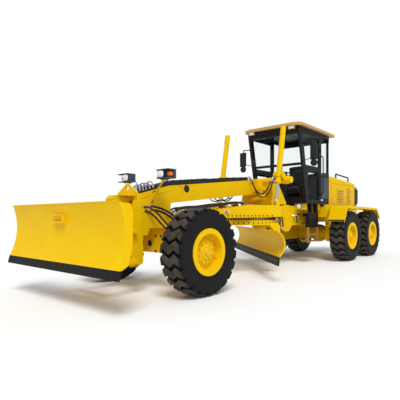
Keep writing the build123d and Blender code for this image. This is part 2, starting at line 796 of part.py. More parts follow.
dozer_up = (dozer_barrel_eye[0], 0, dozer_barrel_eye[1])
dozer_down = (dozer_rod_eye[0], 0, dozer_rod_eye[1])
with BuildPart() as dozer_barrel:
    cylinder_between(along(dozer_up, dozer_down, 0.05), along(dozer_up, dozer_down, 0.62), 50)
    drum_y(dozer_up[0], dozer_up[2], 52, -55.7, 55.7)
    drum_y(dozer_up[0], dozer_up[2], 30 + pin_gap, -60, 60, Mode.SUBTRACT)
    bore_top = along(dozer_up, dozer_down, 0.14)
    cylinder_between(bore_top, along(dozer_up, dozer_down, 0.7), 25 + bore_gap, Mode.SUBTRACT)
export(dozer_barrel.part, "dozer_barrel")

with BuildPart() as dozer_rod:
    cylinder_between(along(dozer_up, dozer_down, 0.30), along(dozer_up, dozer_down, 0.98), 25)
    drum_y(dozer_down[0], dozer_down[2], 38, -36.7, 36.7)
export(dozer_rod.part, "dozer_rod")


# ---- Centre shift cylinder: saddle to the drawbar's right side ----------------------
with BuildPart() as shift_barrel:
    cylinder_between(along(shift_up, shift_down, 0.05), along(shift_up, shift_down, 0.62), 40)
    x, y, z = shift_up
    cylinder_between((x - 49.7, y, z), (x + 49.7, y, z), 46)
    cylinder_between((x - 60, y, z), (x + 60, y, z), 24 + pin_gap, Mode.SUBTRACT)
    bore_top = along(shift_up, shift_down, 0.12)
    cylinder_between(bore_top, along(shift_up, shift_down, 0.7), 22 + bore_gap, Mode.SUBTRACT)
export(shift_barrel.part, "shift_barrel")

with BuildPart() as shift_rod:
    cylinder_between(along(shift_up, shift_down, 0.3), along(shift_up, shift_down, 0.98), 22)
    drum_low = (shift_down[0] - 30.7, shift_down[1], shift_down[2])
    drum_high = (shift_down[0] + 30.7, shift_down[1], shift_down[2])
    cylinder_between(drum_low, drum_high, 42)
export(shift_rod.part, "shift_rod")


# ---- Rear frame ---------------------------------------------------------------------
def octagon(x, z, width, height, corner):
    w = width / 2
    h = height / 2
    return ((x - w, z - h + corner), (x - w + corner, z - h), (x + w - corner, z - h), (x + w, z - h + corner),
            (x + w, z + h - corner), (x + w - corner, z + h), (x - w + corner, z + h), (x - w, z + h - corner))


def side_rail(side):
    rail = (
        (rail_front_x, 1420),
        (rail_front_x, 960),
        (-900, 960),
        (-1100, rail_low_z),
        (frame_rear_x, rail_low_z),
        (frame_rear_x, rail_top_z),
    )
    side_plate(rail, side * rail_inner, side * rail_outer)
    side_plate(octagon(-269.5, 1132, 455, 608, 120), side * rail_outer, side * (rail_outer + 30))
    for x in (-760, -1460):
        block(x - 60, x + 60, side * rail_outer, side * 640, 1330, cab_floor_z - 0.3)
    block(hood_rear_x, hood_front_x, side * (rail_inner + 0.3), side * hood_half, rail_top_z, hood_low_z)


def crossmembers():
    inner = rail_inner - 0.3
    for x in (-2300, -3950, -4755):
        block(x - 25, x + 25, -inner, inner, rail_low_z, rail_top_z)
    block(frame_rear_x - 40, frame_rear_x - 0.3, -380, 380, rail_low_z, rail_top_z)
    block(frame_rear_x - 200, frame_rear_x - 30, -80, 80, 1060, 1090)
    block(frame_rear_x - 200, frame_rear_x - 30, -80, 80, 1170, 1200)
    with Locations((frame_rear_x - 140, 0, 1130)):
        Cylinder(25, 200, mode=Mode.SUBTRACT)


def frame_box():
    inner = rail_inner - 0.3
    back = pivot_x - 180
    block(-1525, -1475, -inner, inner, 960, 1420)
    block(-1500, back, -inner, inner, 960, 990)
    block(-1500, back, -inner, inner, 1390, 1420)
    block(back - 30, back, -inner, inner, 960, 1420)


def hitch_nose():
    block(pivot_x - 200, pivot_x, -120, 120, pivot_low_z + 6, pivot_low_z + 66)
    block(pivot_x - 200, pivot_x, -120, 120, pivot_top_z - 66, pivot_top_z - 6)
    for low in (pivot_low_z + 6, pivot_top_z - 66):
        with Locations((pivot_x, 0, low + 30)):
            Cylinder(120, 60)
    with Locations((pivot_x, 0, (pivot_low_z + pivot_top_z) / 2)):
        Cylinder(pivot_pin, pivot_top_z - pivot_low_z + 2 * ear_thickness + 20)


with BuildPart() as rear_frame:
    frame_box()
    hitch_nose()
export(rear_frame.part, "rear_frame")

# Each rail with its hitch plate, cab brackets and hood sill.
for name, side in (("left", 1), ("right", -1)):
    with BuildPart() as frame_rail:
        side_rail(side)
    export(frame_rail.part, "frame_rail_" + name)

with BuildPart() as frame_crossmembers:
    crossmembers()
export(frame_crossmembers.part, "frame_crossmembers")

with BuildPart() as axle_hangers:
    for side in (1, -1):
        block(-3055, -2655, side * (rail_inner - 60), side * (rail_outer + 40), 860, rail_low_z - 0.3)
export(axle_hangers.part, "axle_hangers")

# Drive axle with the two tandem chain cases and their wheel hubs.
axle_mid_x = (mid_axle_x + rear_axle_x) / 2
with BuildPart() as drive_axle:
    drum_y(axle_mid_x, 690, 170, -640, 640)
    with Locations((axle_mid_x, 0, 690)):
        Sphere(250)
    for side in (1, -1):
        case = (
            (mid_axle_x + 210, wheel_z),
            (mid_axle_x + 150, wheel_z + 150),
            (axle_mid_x + 300, wheel_z + 230),
            (axle_mid_x - 300, wheel_z + 230),
            (rear_axle_x - 150, wheel_z + 150),
            (rear_axle_x - 210, wheel_z),
            (rear_axle_x - 150, wheel_z - 150),
            (mid_axle_x + 150, wheel_z - 150),
        )
        side_plate(case, side * 610, side * 800)
        for x in (mid_axle_x, rear_axle_x):
            drum_y(x, wheel_z, 150, side * 790, side * (track_half + 19.7))
        block(-3045, -2665, side * 280, side * 400, 700, 859.7)
export(drive_axle.part, "drive_axle")

# Fenders over each tandem pair, on brackets from the frame.
fender_line = (
    (-1470, 1060),
    (-1660, 1395),
    (-1750, 1430),
    (-3860, 1400),
    (-3930, 1370),
    (-4190, 1110),
)
fender_brackets = ((-2290, 1412), (-2860, 1405), (-3800, 1390))
for name, side in (("left", 1), ("right", -1)):
    with BuildPart() as fender:
        lower = [(x, z - 14) for x, z in reversed(fender_line)]
        side_plate(list(fender_line) + lower, side * 870, side * 1300)
        skirt = [(x, z - 55) for x, z in reversed(fender_line)]
        side_plate(list(fender_line) + skirt, side * 1292, side * 1300)
        for x, top in fender_brackets:
            block(x - 40, x + 40, side * (rail_outer + 0.3), side * 900, top - 34, top)
    export(fender.part, "fender_" + name)


# ---- Cab ----------------------------------------------------------------------------
def cab_front_x(z):
    share = (z - cab_floor_z) / (cab_top_z - cab_floor_z)
    return cab_front_low_x + (cab_front_top_x - cab_front_low_x) * share


def door_front_x(z):
    share = (z - door_low_z) / (door_top_z - door_low_z)
    return door_front_low_x + (door_front_top_x - door_front_low_x) * share


# Four-sided opening in a cab side between two heights, from the leaning front edge back.
def opening(front, rear, low, high, grow=0.0):
    return (
        (front(low - grow) + grow, low - grow),
        (front(high + grow) + grow, high + grow),
        (rear - grow, high + grow),
        (rear - grow, low - grow),
    )


rear_window = ((-1838, 2281), (-1838, door_top_z), (-1450, door_top_z), (-1450, 2194))
screen_bar_z = 2365.0
header_z = cab_top_z - 170.0
window_low_z = 1620.0


def cab_side(side):
    outer = side * cab_half
    inner = side * (cab_half - cab_wall)
    outline = (
        (cab_front_x(cab_floor_z), cab_floor_z),
        (cab_front_x(cab_top_z), cab_top_z),
        (cab_rear_x + 20, cab_top_z),
        (cab_rear_x, cab_floor_z),
    )
    side_plate(outline, inner, outer)
    doorway = opening(door_front_x, door_rear_x, door_low_z, door_top_z)
    side_plate(doorway, side * (cab_half - cab_wall - 5), side * (cab_half + 5), Mode.SUBTRACT)
    side_plate(rear_window, side * (cab_half - cab_wall - 5), side * (cab_half + 5), Mode.SUBTRACT)


def leaning_bar(z_from, z_to, thickness=60):
    bar = (
        (cab_front_x(z_from), z_from),
        (cab_front_x(z_to), z_to),
        (cab_front_x(z_to) - thickness, z_to),
        (cab_front_x(z_from) - thickness, z_from),
    )
    side_plate(bar, -cab_half, cab_half)


with BuildPart() as cab_shell:
    for side in (1, -1):
        cab_side(side)
    block(cab_rear_x, cab_front_low_x, -cab_half, cab_half, cab_floor_z, cab_floor_z + floor_plate)
    leaning_bar(cab_floor_z, window_low_z)
    leaning_bar(screen_bar_z, screen_bar_z + 50)
    leaning_bar(header_z, cab_top_z)
    block(cab_front_top_x - 60, cab_front_top_x + 25, -640, 640, header_z + 70, cab_top_z)
    block(cab_rear_x, cab_rear_x + cab_wall, -cab_half, cab_half, cab_floor_z, 2290)
    block(cab_rear_x, cab_rear_x + cab_wall, -cab_half, cab_half, header_z, cab_top_z)
    block(cab_rear_x, cab_front_top_x - 30, -cab_half, cab_half, cab_top_z - 30, cab_top_z)
    # Mirror arms with a tall and a round mirror head per side.
    for side in (1, -1):
        arm_x = cab_front_x(2700) - 30
        bent_tube(
            (
                (arm_x, side * (cab_half - 20), 2830),
                (arm_x - 20, side * 960, 2860),
                (arm_x - 20, side * 985, 2400),
            ),
            40,
            12,
        )
        block(arm_x - 60, arm_x - 25, side * 900, side * 1075, 2450, 2800)
        cylinder_between((arm_x - 60, side * 985, 2380), (arm_x - 30, side * 985, 2380), 80)
export(cab_shell.part, "cab_shell")

roof_plan = ((-190, 600), (-225, 740), (-320, 795), (-2070, 795), (-2125, 745))
with BuildPart() as cab_roof:
    plan_plate(mirrored(roof_plan), cab_top_z, roof_z - 22)
    raised = [(x - 25 if x > -1000 else x + 25, y - 25) for x, y in roof_plan]
    plan_plate(mirrored(raised), roof_z - 22, roof_z)
    for side in (1, -1):
        block(-262, -218, side * 470, side * 630, cab_top_z - 75, cab_top_z)
export(cab_roof.part, "cab_roof")

# Fixed panes seat against the inside of their frames.
pane = 8.0


def leaning_pane(z_from, z_to):
    back = 60
    outline = (
        (cab_front_x(z_from) - back, z_from),
        (cab_front_x(z_to) - back, z_to),
        (cab_front_x(z_to) - back - pane, z_to),
        (cab_front_x(z_from) - back - pane, z_from),
    )
    side_plate(outline, -cab_half + cab_wall + 1, cab_half - cab_wall - 1)


with BuildPart() as cab_glass:
    leaning_pane(window_low_z - 20, screen_bar_z + 20)
    leaning_pane(screen_bar_z + 28, header_z + 20)
    block(cab_rear_x + cab_wall, cab_rear_x + cab_wall + pane, -cab_half + cab_wall + 1, cab_half - cab_wall - 1,
          2270, header_z + 20)
    for side in (1, -1):
        inner = cab_half - cab_wall
        high = door_top_z + 20
        side_pane = ((-1841.5, 2262), (-1841.5, high), (-1430, high), (-1430, 2170))
        side_plate(side_pane, side * (inner - pane), side * inner)
export(cab_glass.part, "cab_glass")

door_frame_width = 55.0
door_thick = 40.0
for name, side in (("left", 1), ("right", -1)):
    outer = side * (cab_half - 2)
    inner = side * (cab_half - 2 - door_thick)
    with BuildPart() as door:
        side_plate(opening(door_front_x, door_rear_x, door_low_z, door_top_z, -door_gap), inner, outer)
        for low, high in ((door_low_z, 2270), (2310, door_top_z)):
            glazing = opening(door_front_x, door_rear_x, low, high, -door_gap - door_frame_width)
            side_plate(glazing, inner - side, outer + side, Mode.SUBTRACT)
        block(-1240, -1190, outer, side * (cab_half + 30), 2180, 2250)
        # Hinge knuckles stand off the rear edge.
        for z in (1700, 2800):
            with Locations((door_rear_x + 2, side * (cab_half + 14), z)):
                Cylinder(14, 80)
            block(door_rear_x + 2, door_rear_x + 40, side * (cab_half - 4), side * (cab_half + 14), z - 40, z + 40)
    export(door.part, "door_" + name)
    with BuildPart() as door_glass:
        for low, high in ((door_low_z, 2270), (2310, door_top_z)):
            glazing = opening(door_front_x, door_rear_x, low, high, -door_gap - door_frame_width)
            side_plate(glazing, inner + side * 16, inner + side * 24)
    export(door_glass.part, "door_glass_" + name)

with BuildPart() as cab_interior:
    floor = cab_floor_z + floor_plate
    block(-1560, -1240, -180, 180, floor, floor + 240)
    block(-1610, -1130, -250, 250, floor + 260, floor + 380)
    block(-1560, -1240, -120, 120, floor + 240, floor + 260)
    side_plate(((-1500, floor + 380), (-1610, floor + 380), (-1740, floor + 960), (-1660, floor + 970)), -230, 230)
    side_plate(((-730, floor), (-860, floor), (-940, floor + 640), (-870, floor + 660)), -90, 90)
    wheel_at = Plane(origin=(-935, 0, floor + 700), z_dir=(-0.35, 0, 1))
    with Locations(wheel_at.location):
        Torus(185, 14)
        Cylinder(30, 150)
        for angle in (0, 120, 240):
            with Locations(Location((0, 0, 0), (0, 0, angle))):
                with Locations((92, 0, 0)):
                    Box(190, 24, 14)
    for side in (1, -1):
        block(-1500, -1080, side * 290, side * 400, floor, floor + 420)
export(cab_interior.part, "cab_interior")


# ---- Hood, engine and rear guard ----------------------------------------------------
def hood_top_z(x):
    share = (hood_front_x - x) / (hood_front_x - hood_rear_x)
    return hood_front_z + (hood_rear_z - hood_front_z) * share


def hood_outline(inset, low):
    return (
        (hood_front_x - inset, low),
        (hood_front_x - inset, hood_top_z(hood_front_x) - inset),
        (hood_rear_x + inset, hood_top_z(hood_rear_x) - inset),
        (hood_rear_x + inset, low),
    )


with BuildPart() as hood:
    side_plate(hood_outline(0, hood_low_z), -hood_half, hood_half)
    fillet([edge for edge in hood.edges().filter_by(lambda e: abs(e.tangent_at(0.5).X) > 0.9)
            if edge.center().Z > hood_rear_z - 100], 70)
    side_plate(hood_outline(hood_wall, hood_low_z - 10), -hood_half + hood_wall, hood_half - hood_wall, Mode.SUBTRACT)
    for side in (1, -1):
        block(hatch_rear_x - 6, hatch_front_x + 6, side * (hood_half - hood_wall - 5), side * (hood_half + 5),
              hatch_low_z - 6, hatch_top_z + 6, Mode.SUBTRACT)
    # Hatch hinge knuckles, above and below each of the hatch's own.
    for side in (1, -1):
        for z in hatch_hinges:
            for offset in (-45.3, 45.3):
                with Locations((hatch_front_x - 2, side * (hood_half + 12), z + offset)):
                    Cylinder(12, 20)
                block(hatch_front_x + 1, hatch_front_x + 30, side * (hood_half - 2), side * (hood_half + 12),
                      z + offset - 10, z + offset + 10)
    # Handrail along each upper edge.
    for side in (1, -1):
        bent_tube(
            (
                (-3070, side * 400, hood_top_z(-3070) - 10),
                (-3070, side * 400, hood_top_z(-3070) + 150),
                (-3990, side * 400, hood_top_z(-3990) + 150),
                (-3990, side * 400, hood_top_z(-3990) - 10),
            ),
            60,
            16,
        )
export(hood.part, "hood")

with BuildPart() as engine_block:
    block(-3700, -2560, -270, 270, rail_low_z + 80, 1900)
    for x in (-3500, -2800):
        block(x - 60, x + 60, -rail_inner, rail_inner, 1180, 1240)
export(engine_block.part, "engine_block")

# Louvred hatches: a flat door per side with rows of slots.
for name, side in (("left", 1), ("right", -1)):
    with BuildPart() as hatch:
        block(hatch_rear_x, hatch_front_x, side * (hood_half - 30), side * (hood_half - 1), hatch_low_z, hatch_top_z)
        for x_from, x_to, low, high in ((-3255, -2815, 1550, 1910), (-3765, -3525, 1550, 1990)):
            count = int((high - low) // 60)
            for i in range(count):
                z = low + 20 + i * 60
                block(x_from, x_to, side * (hood_half - 40), side * (hood_half + 5), z, z + 26, Mode.SUBTRACT)
        for z in hatch_hinges:
            with Locations((hatch_front_x - 2, side * (hood_half + 12), z)):
                Cylinder(12, 70)
            block(hatch_front_x - 40, hatch_front_x - 2, side * (hood_half - 3), side * (hood_half + 12),
                  z - 35, z + 35)
    export(hatch.part, "hatch_" + name)

# Rounded housing over the fan behind the hood, stepped in at its grille.
guard_steps = ((hood_rear_x - 0.3, -4600, 450, 1480, 2100), (-4590, guard_rear_x, 400, 1530, 2050))
with BuildPart() as radiator_guard:
    for x_from, x_to, half, low, high in guard_steps:
        with BuildSketch(Plane.YZ.offset(x_to)) as outline:
            with Locations((0, (low + high) / 2)):
                RectangleRounded(2 * half, high - low, 70)
        extrude(outline.sketch, amount=x_from - x_to)
export(radiator_guard.part, "radiator_guard")

# Step box below the cab on each side, its bracket to the cab's sill and, behind it, the
# battery box.
with BuildPart() as side_steps:
    for side in (1, -1):
        inner = side * (rail_outer + 0.3)
        block(-1320, -815, side * 600, side * 690, 912, 1250)
        block(-1160, -1100, inner, side * 610, 1170, 1240)
        block(-1300, -1235, side * 600, side * 690, 1240, cab_floor_z - 0.3)
        block(-1010, -945, side * 600, side * 690, 1240, cab_floor_z - 0.3)
        block(-2200, -1580, inner, side * 780, 1150, 1410)
export(side_steps.part, "side_steps")

# Ladder of two treads hanging below each step box.
with BuildPart() as side_ladders:
    for side in (1, -1):
        for x in (-1320, -840):
            block(x, x + 25, side * 640, side * 690, 545, 911.7)
        for z in (560, 725):
            block(-1320, -815, side * 600, side * 690, z, z + 25)
export(side_ladders.part, "side_ladders")
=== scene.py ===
import bpy
import bmesh
import json
import math
from mathutils import Matrix, Vector


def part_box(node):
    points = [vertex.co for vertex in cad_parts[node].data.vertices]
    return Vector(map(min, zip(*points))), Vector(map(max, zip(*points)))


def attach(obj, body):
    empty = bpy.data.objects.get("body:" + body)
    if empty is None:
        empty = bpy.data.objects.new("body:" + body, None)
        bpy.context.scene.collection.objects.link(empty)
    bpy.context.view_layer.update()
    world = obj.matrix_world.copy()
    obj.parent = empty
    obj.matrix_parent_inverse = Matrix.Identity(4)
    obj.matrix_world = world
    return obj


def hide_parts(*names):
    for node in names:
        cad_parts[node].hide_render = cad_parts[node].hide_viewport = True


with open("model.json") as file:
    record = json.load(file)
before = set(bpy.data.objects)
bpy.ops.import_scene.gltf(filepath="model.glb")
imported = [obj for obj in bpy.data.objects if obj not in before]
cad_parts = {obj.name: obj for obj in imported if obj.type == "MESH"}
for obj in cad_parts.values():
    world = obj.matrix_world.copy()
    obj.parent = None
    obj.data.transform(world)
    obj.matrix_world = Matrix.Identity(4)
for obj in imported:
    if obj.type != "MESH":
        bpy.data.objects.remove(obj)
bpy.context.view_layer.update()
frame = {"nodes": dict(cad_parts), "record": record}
print("frame loaded:", len(frame["nodes"]), "nodes")


# Sets a socket's value, or links it where the value is another node's socket.
def setSocket(tree, socket, value):
    if isinstance(value, bpy.types.NodeSocket):
        tree.links.new(value, socket)
    else:
        socket.default_value = value


def addNode(tree, kind, values=None, **settings):
    node = tree.nodes.new(kind)
    for name, value in settings.items():
        setattr(node, name, value)
    for name, value in (values or {}).items():
        setSocket(tree, node.inputs[name], value)
    return node


def newMaterial(name):
    made = bpy.data.materials.new(name)
    made.use_nodes = True
    return made, made.node_tree, made.node_tree.nodes["Principled BSDF"]


# Two tones mixed at random by noise, where on the yellow paint the second tone is painted shade, with dust that thins
# out upwards; colours are linear, DustTop is in metres.
paintInputs = (
    ("Paint", "Color", (0.8, 0.5, 0.02, 1)), ("SecondToneAndShade", "Color", (0.6, 0.34, 0.01, 1)), ("MottleAndShade", "Float", 0.25),
    ("Dust", "Color", (0.5, 0.42, 0.3, 1)), ("DustShare", "Float", 0.2), ("DustTop", "Float", 1.2),
    ("Gloss", "Float", 0.3),
)


def makePaintGroup():
    tree = bpy.data.node_groups.new("sprayedPaint", "ShaderNodeTree")
    for name, kind, value in paintInputs:
        tree.interface.new_socket(name=name, in_out="INPUT", socket_type="NodeSocket" + kind).default_value = value
    for name, kind in (("Color", "Color"), ("Roughness", "Float"), ("Height", "Float")):
        tree.interface.new_socket(name=name, in_out="OUTPUT", socket_type="NodeSocket" + kind)
    given = tree.nodes.new("NodeGroupInput").outputs
    spot = addNode(tree, "ShaderNodeTexCoord").outputs["Object"]
    cloud = addNode(tree, "ShaderNodeTexNoise", {"Vector": spot, "Scale": 2.3, "Detail": 4.0})
    # share of the second tone, which on the yellow paint mixes painted shade in at random
    share = addNode(tree, "ShaderNodeMath", {0: cloud.outputs["Fac"], 1: given["MottleAndShade"]}, operation="MULTIPLY")
    tone = addNode(tree, "ShaderNodeMix", {"Factor": share.outputs[0], "A": given["Paint"], "B": given["SecondToneAndShade"]},
                   data_type="RGBA")
    height = addNode(tree, "ShaderNodeSeparateXYZ", {0: spot}).outputs["Z"]
    fall = addNode(tree, "ShaderNodeMapRange", {"Value": height, "From Min": 0.0, "From Max": given["DustTop"],
                                                "To Min": 1.0, "To Max": 0.0})
    grit = addNode(tree, "ShaderNodeTexNoise", {"Vector": spot, "Scale": 14.0, "Detail": 6.0, "Roughness": 0.65})
    settle = addNode(tree, "ShaderNodeMath", {0: fall.outputs[0], 1: grit.outputs["Fac"]}, operation="MULTIPLY")
    dustMask = addNode(tree, "ShaderNodeMath", {0: settle.outputs[0], 1: given["DustShare"]}, operation="MULTIPLY")
    dusty = addNode(tree, "ShaderNodeMix", {"Factor": dustMask.outputs[0], "A": tone.outputs["Result"],
                                            "B": given["Dust"]}, data_type="RGBA")
    rough = addNode(tree, "ShaderNodeMath", {0: dustMask.outputs[0], 1: 0.5, 2: given["Gloss"]},
                    operation="MULTIPLY_ADD")
    peel = addNode(tree, "ShaderNodeTexNoise", {"Vector": spot, "Scale": 160.0, "Detail": 2.0})
    addNode(tree, "NodeGroupOutput", {"Color": dusty.outputs["Result"], "Roughness": rough.outputs[0],
                                      "Height": peel.outputs["Fac"]})
    return tree


paintGroup = makePaintGroup()


def paintMaterial(name, look):
    made, tree, shader = newMaterial(name)
    group = addNode(tree, "ShaderNodeGroup", node_tree=paintGroup)
    bump = addNode(tree, "ShaderNodeBump", {"Height": group.outputs["Height"], "Distance": 0.0006})
    setSocket(tree, shader.inputs["Base Color"], group.outputs["Color"])
    setSocket(tree, shader.inputs["Roughness"], group.outputs["Roughness"])
    setSocket(tree, shader.inputs["Normal"], bump.outputs["Normal"])
    for socket, value in look.items():
        owner = bump if socket == "Strength" else group if socket in group.inputs else shader
        owner.inputs[socket].default_value = value
    return made


# Paint and the second colour are the two tones, the second one on the yellow paint being painted shade; Strength is
# the orange peel's; the other names are the shader's own sockets.
finishes = {
    # the second tone here is this yellow in shade, painted in at random beside the lit yellow
    "yellowPaint": {"Paint": (0.86, 0.555, 0.001, 1), "SecondToneAndShade": (0.72, 0.40, 0.001, 1), "MottleAndShade": 0.6,
                    "DustShare": 0.02, "Gloss": 0.45, "Specular IOR Level": 0.06, "Strength": 0.15},
    "blackPaint": {"Paint": (0.006, 0.007, 0.009, 1), "SecondToneAndShade": (0.012, 0.013, 0.016, 1), "MottleAndShade": 0.5,
                   "DustShare": 0.02, "Gloss": 0.45, "Specular IOR Level": 0.2, "Strength": 0.2},
    "panelGrey": {"Paint": (0.035, 0.055, 0.075, 1), "SecondToneAndShade": (0.02, 0.03, 0.042, 1), "MottleAndShade": 0.6,
                  "DustShare": 0.08, "Gloss": 0.35, "Specular IOR Level": 0.4, "Strength": 0.2},
    "creamPaint": {"Paint": (0.62, 0.36, 0.12, 1), "SecondToneAndShade": (0.5, 0.28, 0.09, 1), "MottleAndShade": 0.5,
                   "DustShare": 0.2, "Gloss": 0.45, "Specular IOR Level": 0.3, "Strength": 0.2},
    "meshTan": {"Paint": (0.66, 0.40, 0.10, 1), "SecondToneAndShade": (0.45, 0.24, 0.06, 1), "MottleAndShade": 0.7,
                "DustShare": 0.2, "Gloss": 0.6, "Specular IOR Level": 0.2, "Strength": 0.5},
    "edgeSteel": {"Paint": (0.005, 0.0055, 0.006, 1), "SecondToneAndShade": (0.013, 0.013, 0.013, 1), "MottleAndShade": 0.7,
                  "DustShare": 0.03, "Gloss": 0.6, "Specular IOR Level": 0.15, "Strength": 0.5},
    "boltSteel": {"Paint": (0.05, 0.05, 0.052, 1), "SecondToneAndShade": (0.12, 0.10, 0.08, 1), "MottleAndShade": 0.9,
                  "DustShare": 0.3, "Gloss": 0.4, "Metallic": 0.4, "Strength": 0.3},
    "boltBright": {"Paint": (0.75, 0.75, 0.74, 1), "SecondToneAndShade": (0.55, 0.54, 0.5, 1), "MottleAndShade": 0.6,
                   "DustShare": 0.1, "Gloss": 0.3, "Metallic": 0.5, "Strength": 0.2},
    "rustSteel": {"Paint": (0.12, 0.035, 0.012, 1), "SecondToneAndShade": (0.045, 0.02, 0.012, 1), "MottleAndShade": 0.9,
                  "DustShare": 0.3, "Gloss": 0.65, "Specular IOR Level": 0.3, "Strength": 0.6},
    "fittingSteel": {"Paint": (0.33, 0.36, 0.39, 1), "SecondToneAndShade": (0.16, 0.18, 0.2, 1), "MottleAndShade": 0.9,
                     "DustShare": 0.15, "Gloss": 0.35, "Metallic": 0.5, "Strength": 0.3},
    "castEngine": {"Paint": (0.05, 0.052, 0.055, 1), "SecondToneAndShade": (0.09, 0.08, 0.07, 1), "MottleAndShade": 0.7,
                   "DustShare": 0.4, "Gloss": 0.6, "Strength": 0.8},
    "wheelSteel": {"Paint": (0.86, 0.53, 0.002, 1), "SecondToneAndShade": (0.60, 0.30, 0.002, 1), "MottleAndShade": 0.6,
                   "DustShare": 0.04, "Gloss": 0.4, "Specular IOR Level": 0.25, "Strength": 0.2},
    "rubberHose": {"Paint": (0.008, 0.008, 0.008, 1), "SecondToneAndShade": (0.018, 0.018, 0.018, 1), "MottleAndShade": 0.5,
                   "DustShare": 0.1, "Gloss": 0.5, "Specular IOR Level": 0.35, "Strength": 0.6},
    "darkTrim": {"Paint": (0.012, 0.013, 0.014, 1), "SecondToneAndShade": (0.018, 0.019, 0.02, 1), "MottleAndShade": 0.6,
                 "DustShare": 0.02, "Gloss": 0.55, "Specular IOR Level": 0.3, "Strength": 0.6},
    "seatFabric": {"Paint": (0.02, 0.021, 0.024, 1), "SecondToneAndShade": (0.04, 0.04, 0.042, 1), "MottleAndShade": 0.8,
                   "DustShare": 0.1, "Gloss": 0.85, "Specular IOR Level": 0.2, "Sheen Weight": 0.3,
                   "Strength": 1.0},
    "lampGrey": {"Paint": (0.045, 0.07, 0.095, 1), "SecondToneAndShade": (0.028, 0.042, 0.058, 1), "MottleAndShade": 0.5,
                 "DustShare": 0.1, "Gloss": 0.4, "Specular IOR Level": 0.35, "Strength": 0.4},
    "tanPaint": {"Paint": (0.42, 0.2, 0.05, 1), "SecondToneAndShade": (0.3, 0.14, 0.035, 1), "MottleAndShade": 0.6,
                 "DustShare": 0.3, "Gloss": 0.5, "Strength": 0.4},
    "labelWhite": {"Paint": (0.75, 0.76, 0.75, 1), "SecondToneAndShade": (0.6, 0.6, 0.58, 1), "MottleAndShade": 0.4,
                   "DustShare": 0.1, "Gloss": 0.4, "Strength": 0.05},
    "labelRed": {"Paint": (0.55, 0.02, 0.015, 1), "SecondToneAndShade": (0.4, 0.015, 0.01, 1), "MottleAndShade": 0.4,
                 "DustShare": 0.1, "Gloss": 0.4, "Strength": 0.05},
    "chromeRod": {"Paint": (0.75, 0.76, 0.78, 1), "SecondToneAndShade": (0.6, 0.6, 0.62, 1), "MottleAndShade": 0.4,
                  "DustShare": 0.1, "Gloss": 0.12, "Metallic": 1.0, "Strength": 0.05},
    "mirrorFace": {"Paint": (0.85, 0.87, 0.88, 1), "SecondToneAndShade": (0.8, 0.82, 0.83, 1), "MottleAndShade": 0.2,
                   "DustShare": 0.05, "Gloss": 0.04, "Metallic": 1.0, "Strength": 0.01},
}
materials = {name: paintMaterial(name, look) for name, look in finishes.items()}

lenses = {
    "cabGlass": {"Base Color": (0.93, 0.96, 0.96, 1), "Roughness": 0.02, "Transmission Weight": 1.0, "IOR": 1.08},
    "lampLens": {"Base Color": (0.86, 0.88, 0.9, 1), "Roughness": 0.08, "Specular IOR Level": 0.7,
                 "Coat Weight": 0.6},
    "amberLens": {"Base Color": (0.85, 0.17, 0.01, 1), "Roughness": 0.15, "Specular IOR Level": 0.6,
                  "Coat Weight": 0.4},
    "redLens": {"Base Color": (0.5, 0.012, 0.01, 1), "Roughness": 0.15, "Specular IOR Level": 0.6,
                "Coat Weight": 0.4},
}


def lensMaterial(name, look):
    made, tree, shader = newMaterial(name)
    for socket, value in look.items():
        shader.inputs[socket].default_value = value
    if name != "cabGlass":  # moulded ribs behind the lens
        spot = addNode(tree, "ShaderNodeTexCoord").outputs["Object"]
        ribs = addNode(tree, "ShaderNodeTexWave", {"Vector": spot, "Scale": 28.0, "Distortion": 0.0},
                       bands_direction="Y")
        bump = addNode(tree, "ShaderNodeBump", {"Strength": 0.35, "Distance": 0.002, "Height": ribs.outputs["Fac"]})
        tree.links.new(bump.outputs["Normal"], shader.inputs["Normal"])
    return made


for name, look in lenses.items():
    materials[name] = lensMaterial(name, look)


rubber = {
    "clean": (0.006, 0.0057, 0.0055, 1), "worn": (0.085, 0.070, 0.058, 1), "wornFrom": 0.604, "wornTo": 0.618,
    "roughness": 0.62, "specular": 0.18, "grain": 90.0,
}


# Dark rubber whose lug tops, by their distance from the axle, are worn pale in patches.
def tyreMaterial():
    made, tree, shader = newMaterial("tyreRubber")
    spot = addNode(tree, "ShaderNodeTexCoord").outputs["Object"]
    split = addNode(tree, "ShaderNodeSeparateXYZ", {0: spot})
    flat = addNode(tree, "ShaderNodeCombineXYZ", {"X": split.outputs["X"], "Z": split.outputs["Z"]})
    radius = addNode(tree, "ShaderNodeVectorMath", {0: flat.outputs[0]}, operation="LENGTH")
    worn = addNode(tree, "ShaderNodeMapRange", {"Value": radius.outputs["Value"], "From Min": rubber["wornFrom"],
                                                "From Max": rubber["wornTo"]})
    cloud = addNode(tree, "ShaderNodeTexNoise", {"Vector": spot, "Scale": 9.0, "Detail": 5.0, "Roughness": 0.6})
    patch = addNode(tree, "ShaderNodeMapRange", {"Value": cloud.outputs["Fac"], "From Min": 0.3, "From Max": 0.7,
                                                 "To Min": 0.25})
    share = addNode(tree, "ShaderNodeMath", {0: worn.outputs[0], 1: patch.outputs[0]}, operation="MULTIPLY")
    tone = addNode(tree, "ShaderNodeMix", {"Factor": share.outputs[0], "A": rubber["clean"], "B": rubber["worn"]},
                   data_type="RGBA")
    grain = addNode(tree, "ShaderNodeTexNoise", {"Vector": spot, "Scale": rubber["grain"], "Detail": 4.0})
    bump = addNode(tree, "ShaderNodeBump", {"Strength": 0.5, "Distance": 0.002, "Height": grain.outputs["Fac"]})
    tree.links.new(tone.outputs["Result"], shader.inputs["Base Color"])
    tree.links.new(bump.outputs["Normal"], shader.inputs["Normal"])
    shader.inputs["Roughness"].default_value = rubber["roughness"]
    shader.inputs["Specular IOR Level"].default_value = rubber["specular"]
    return made


materials["tyreRubber"] = tyreMaterial()

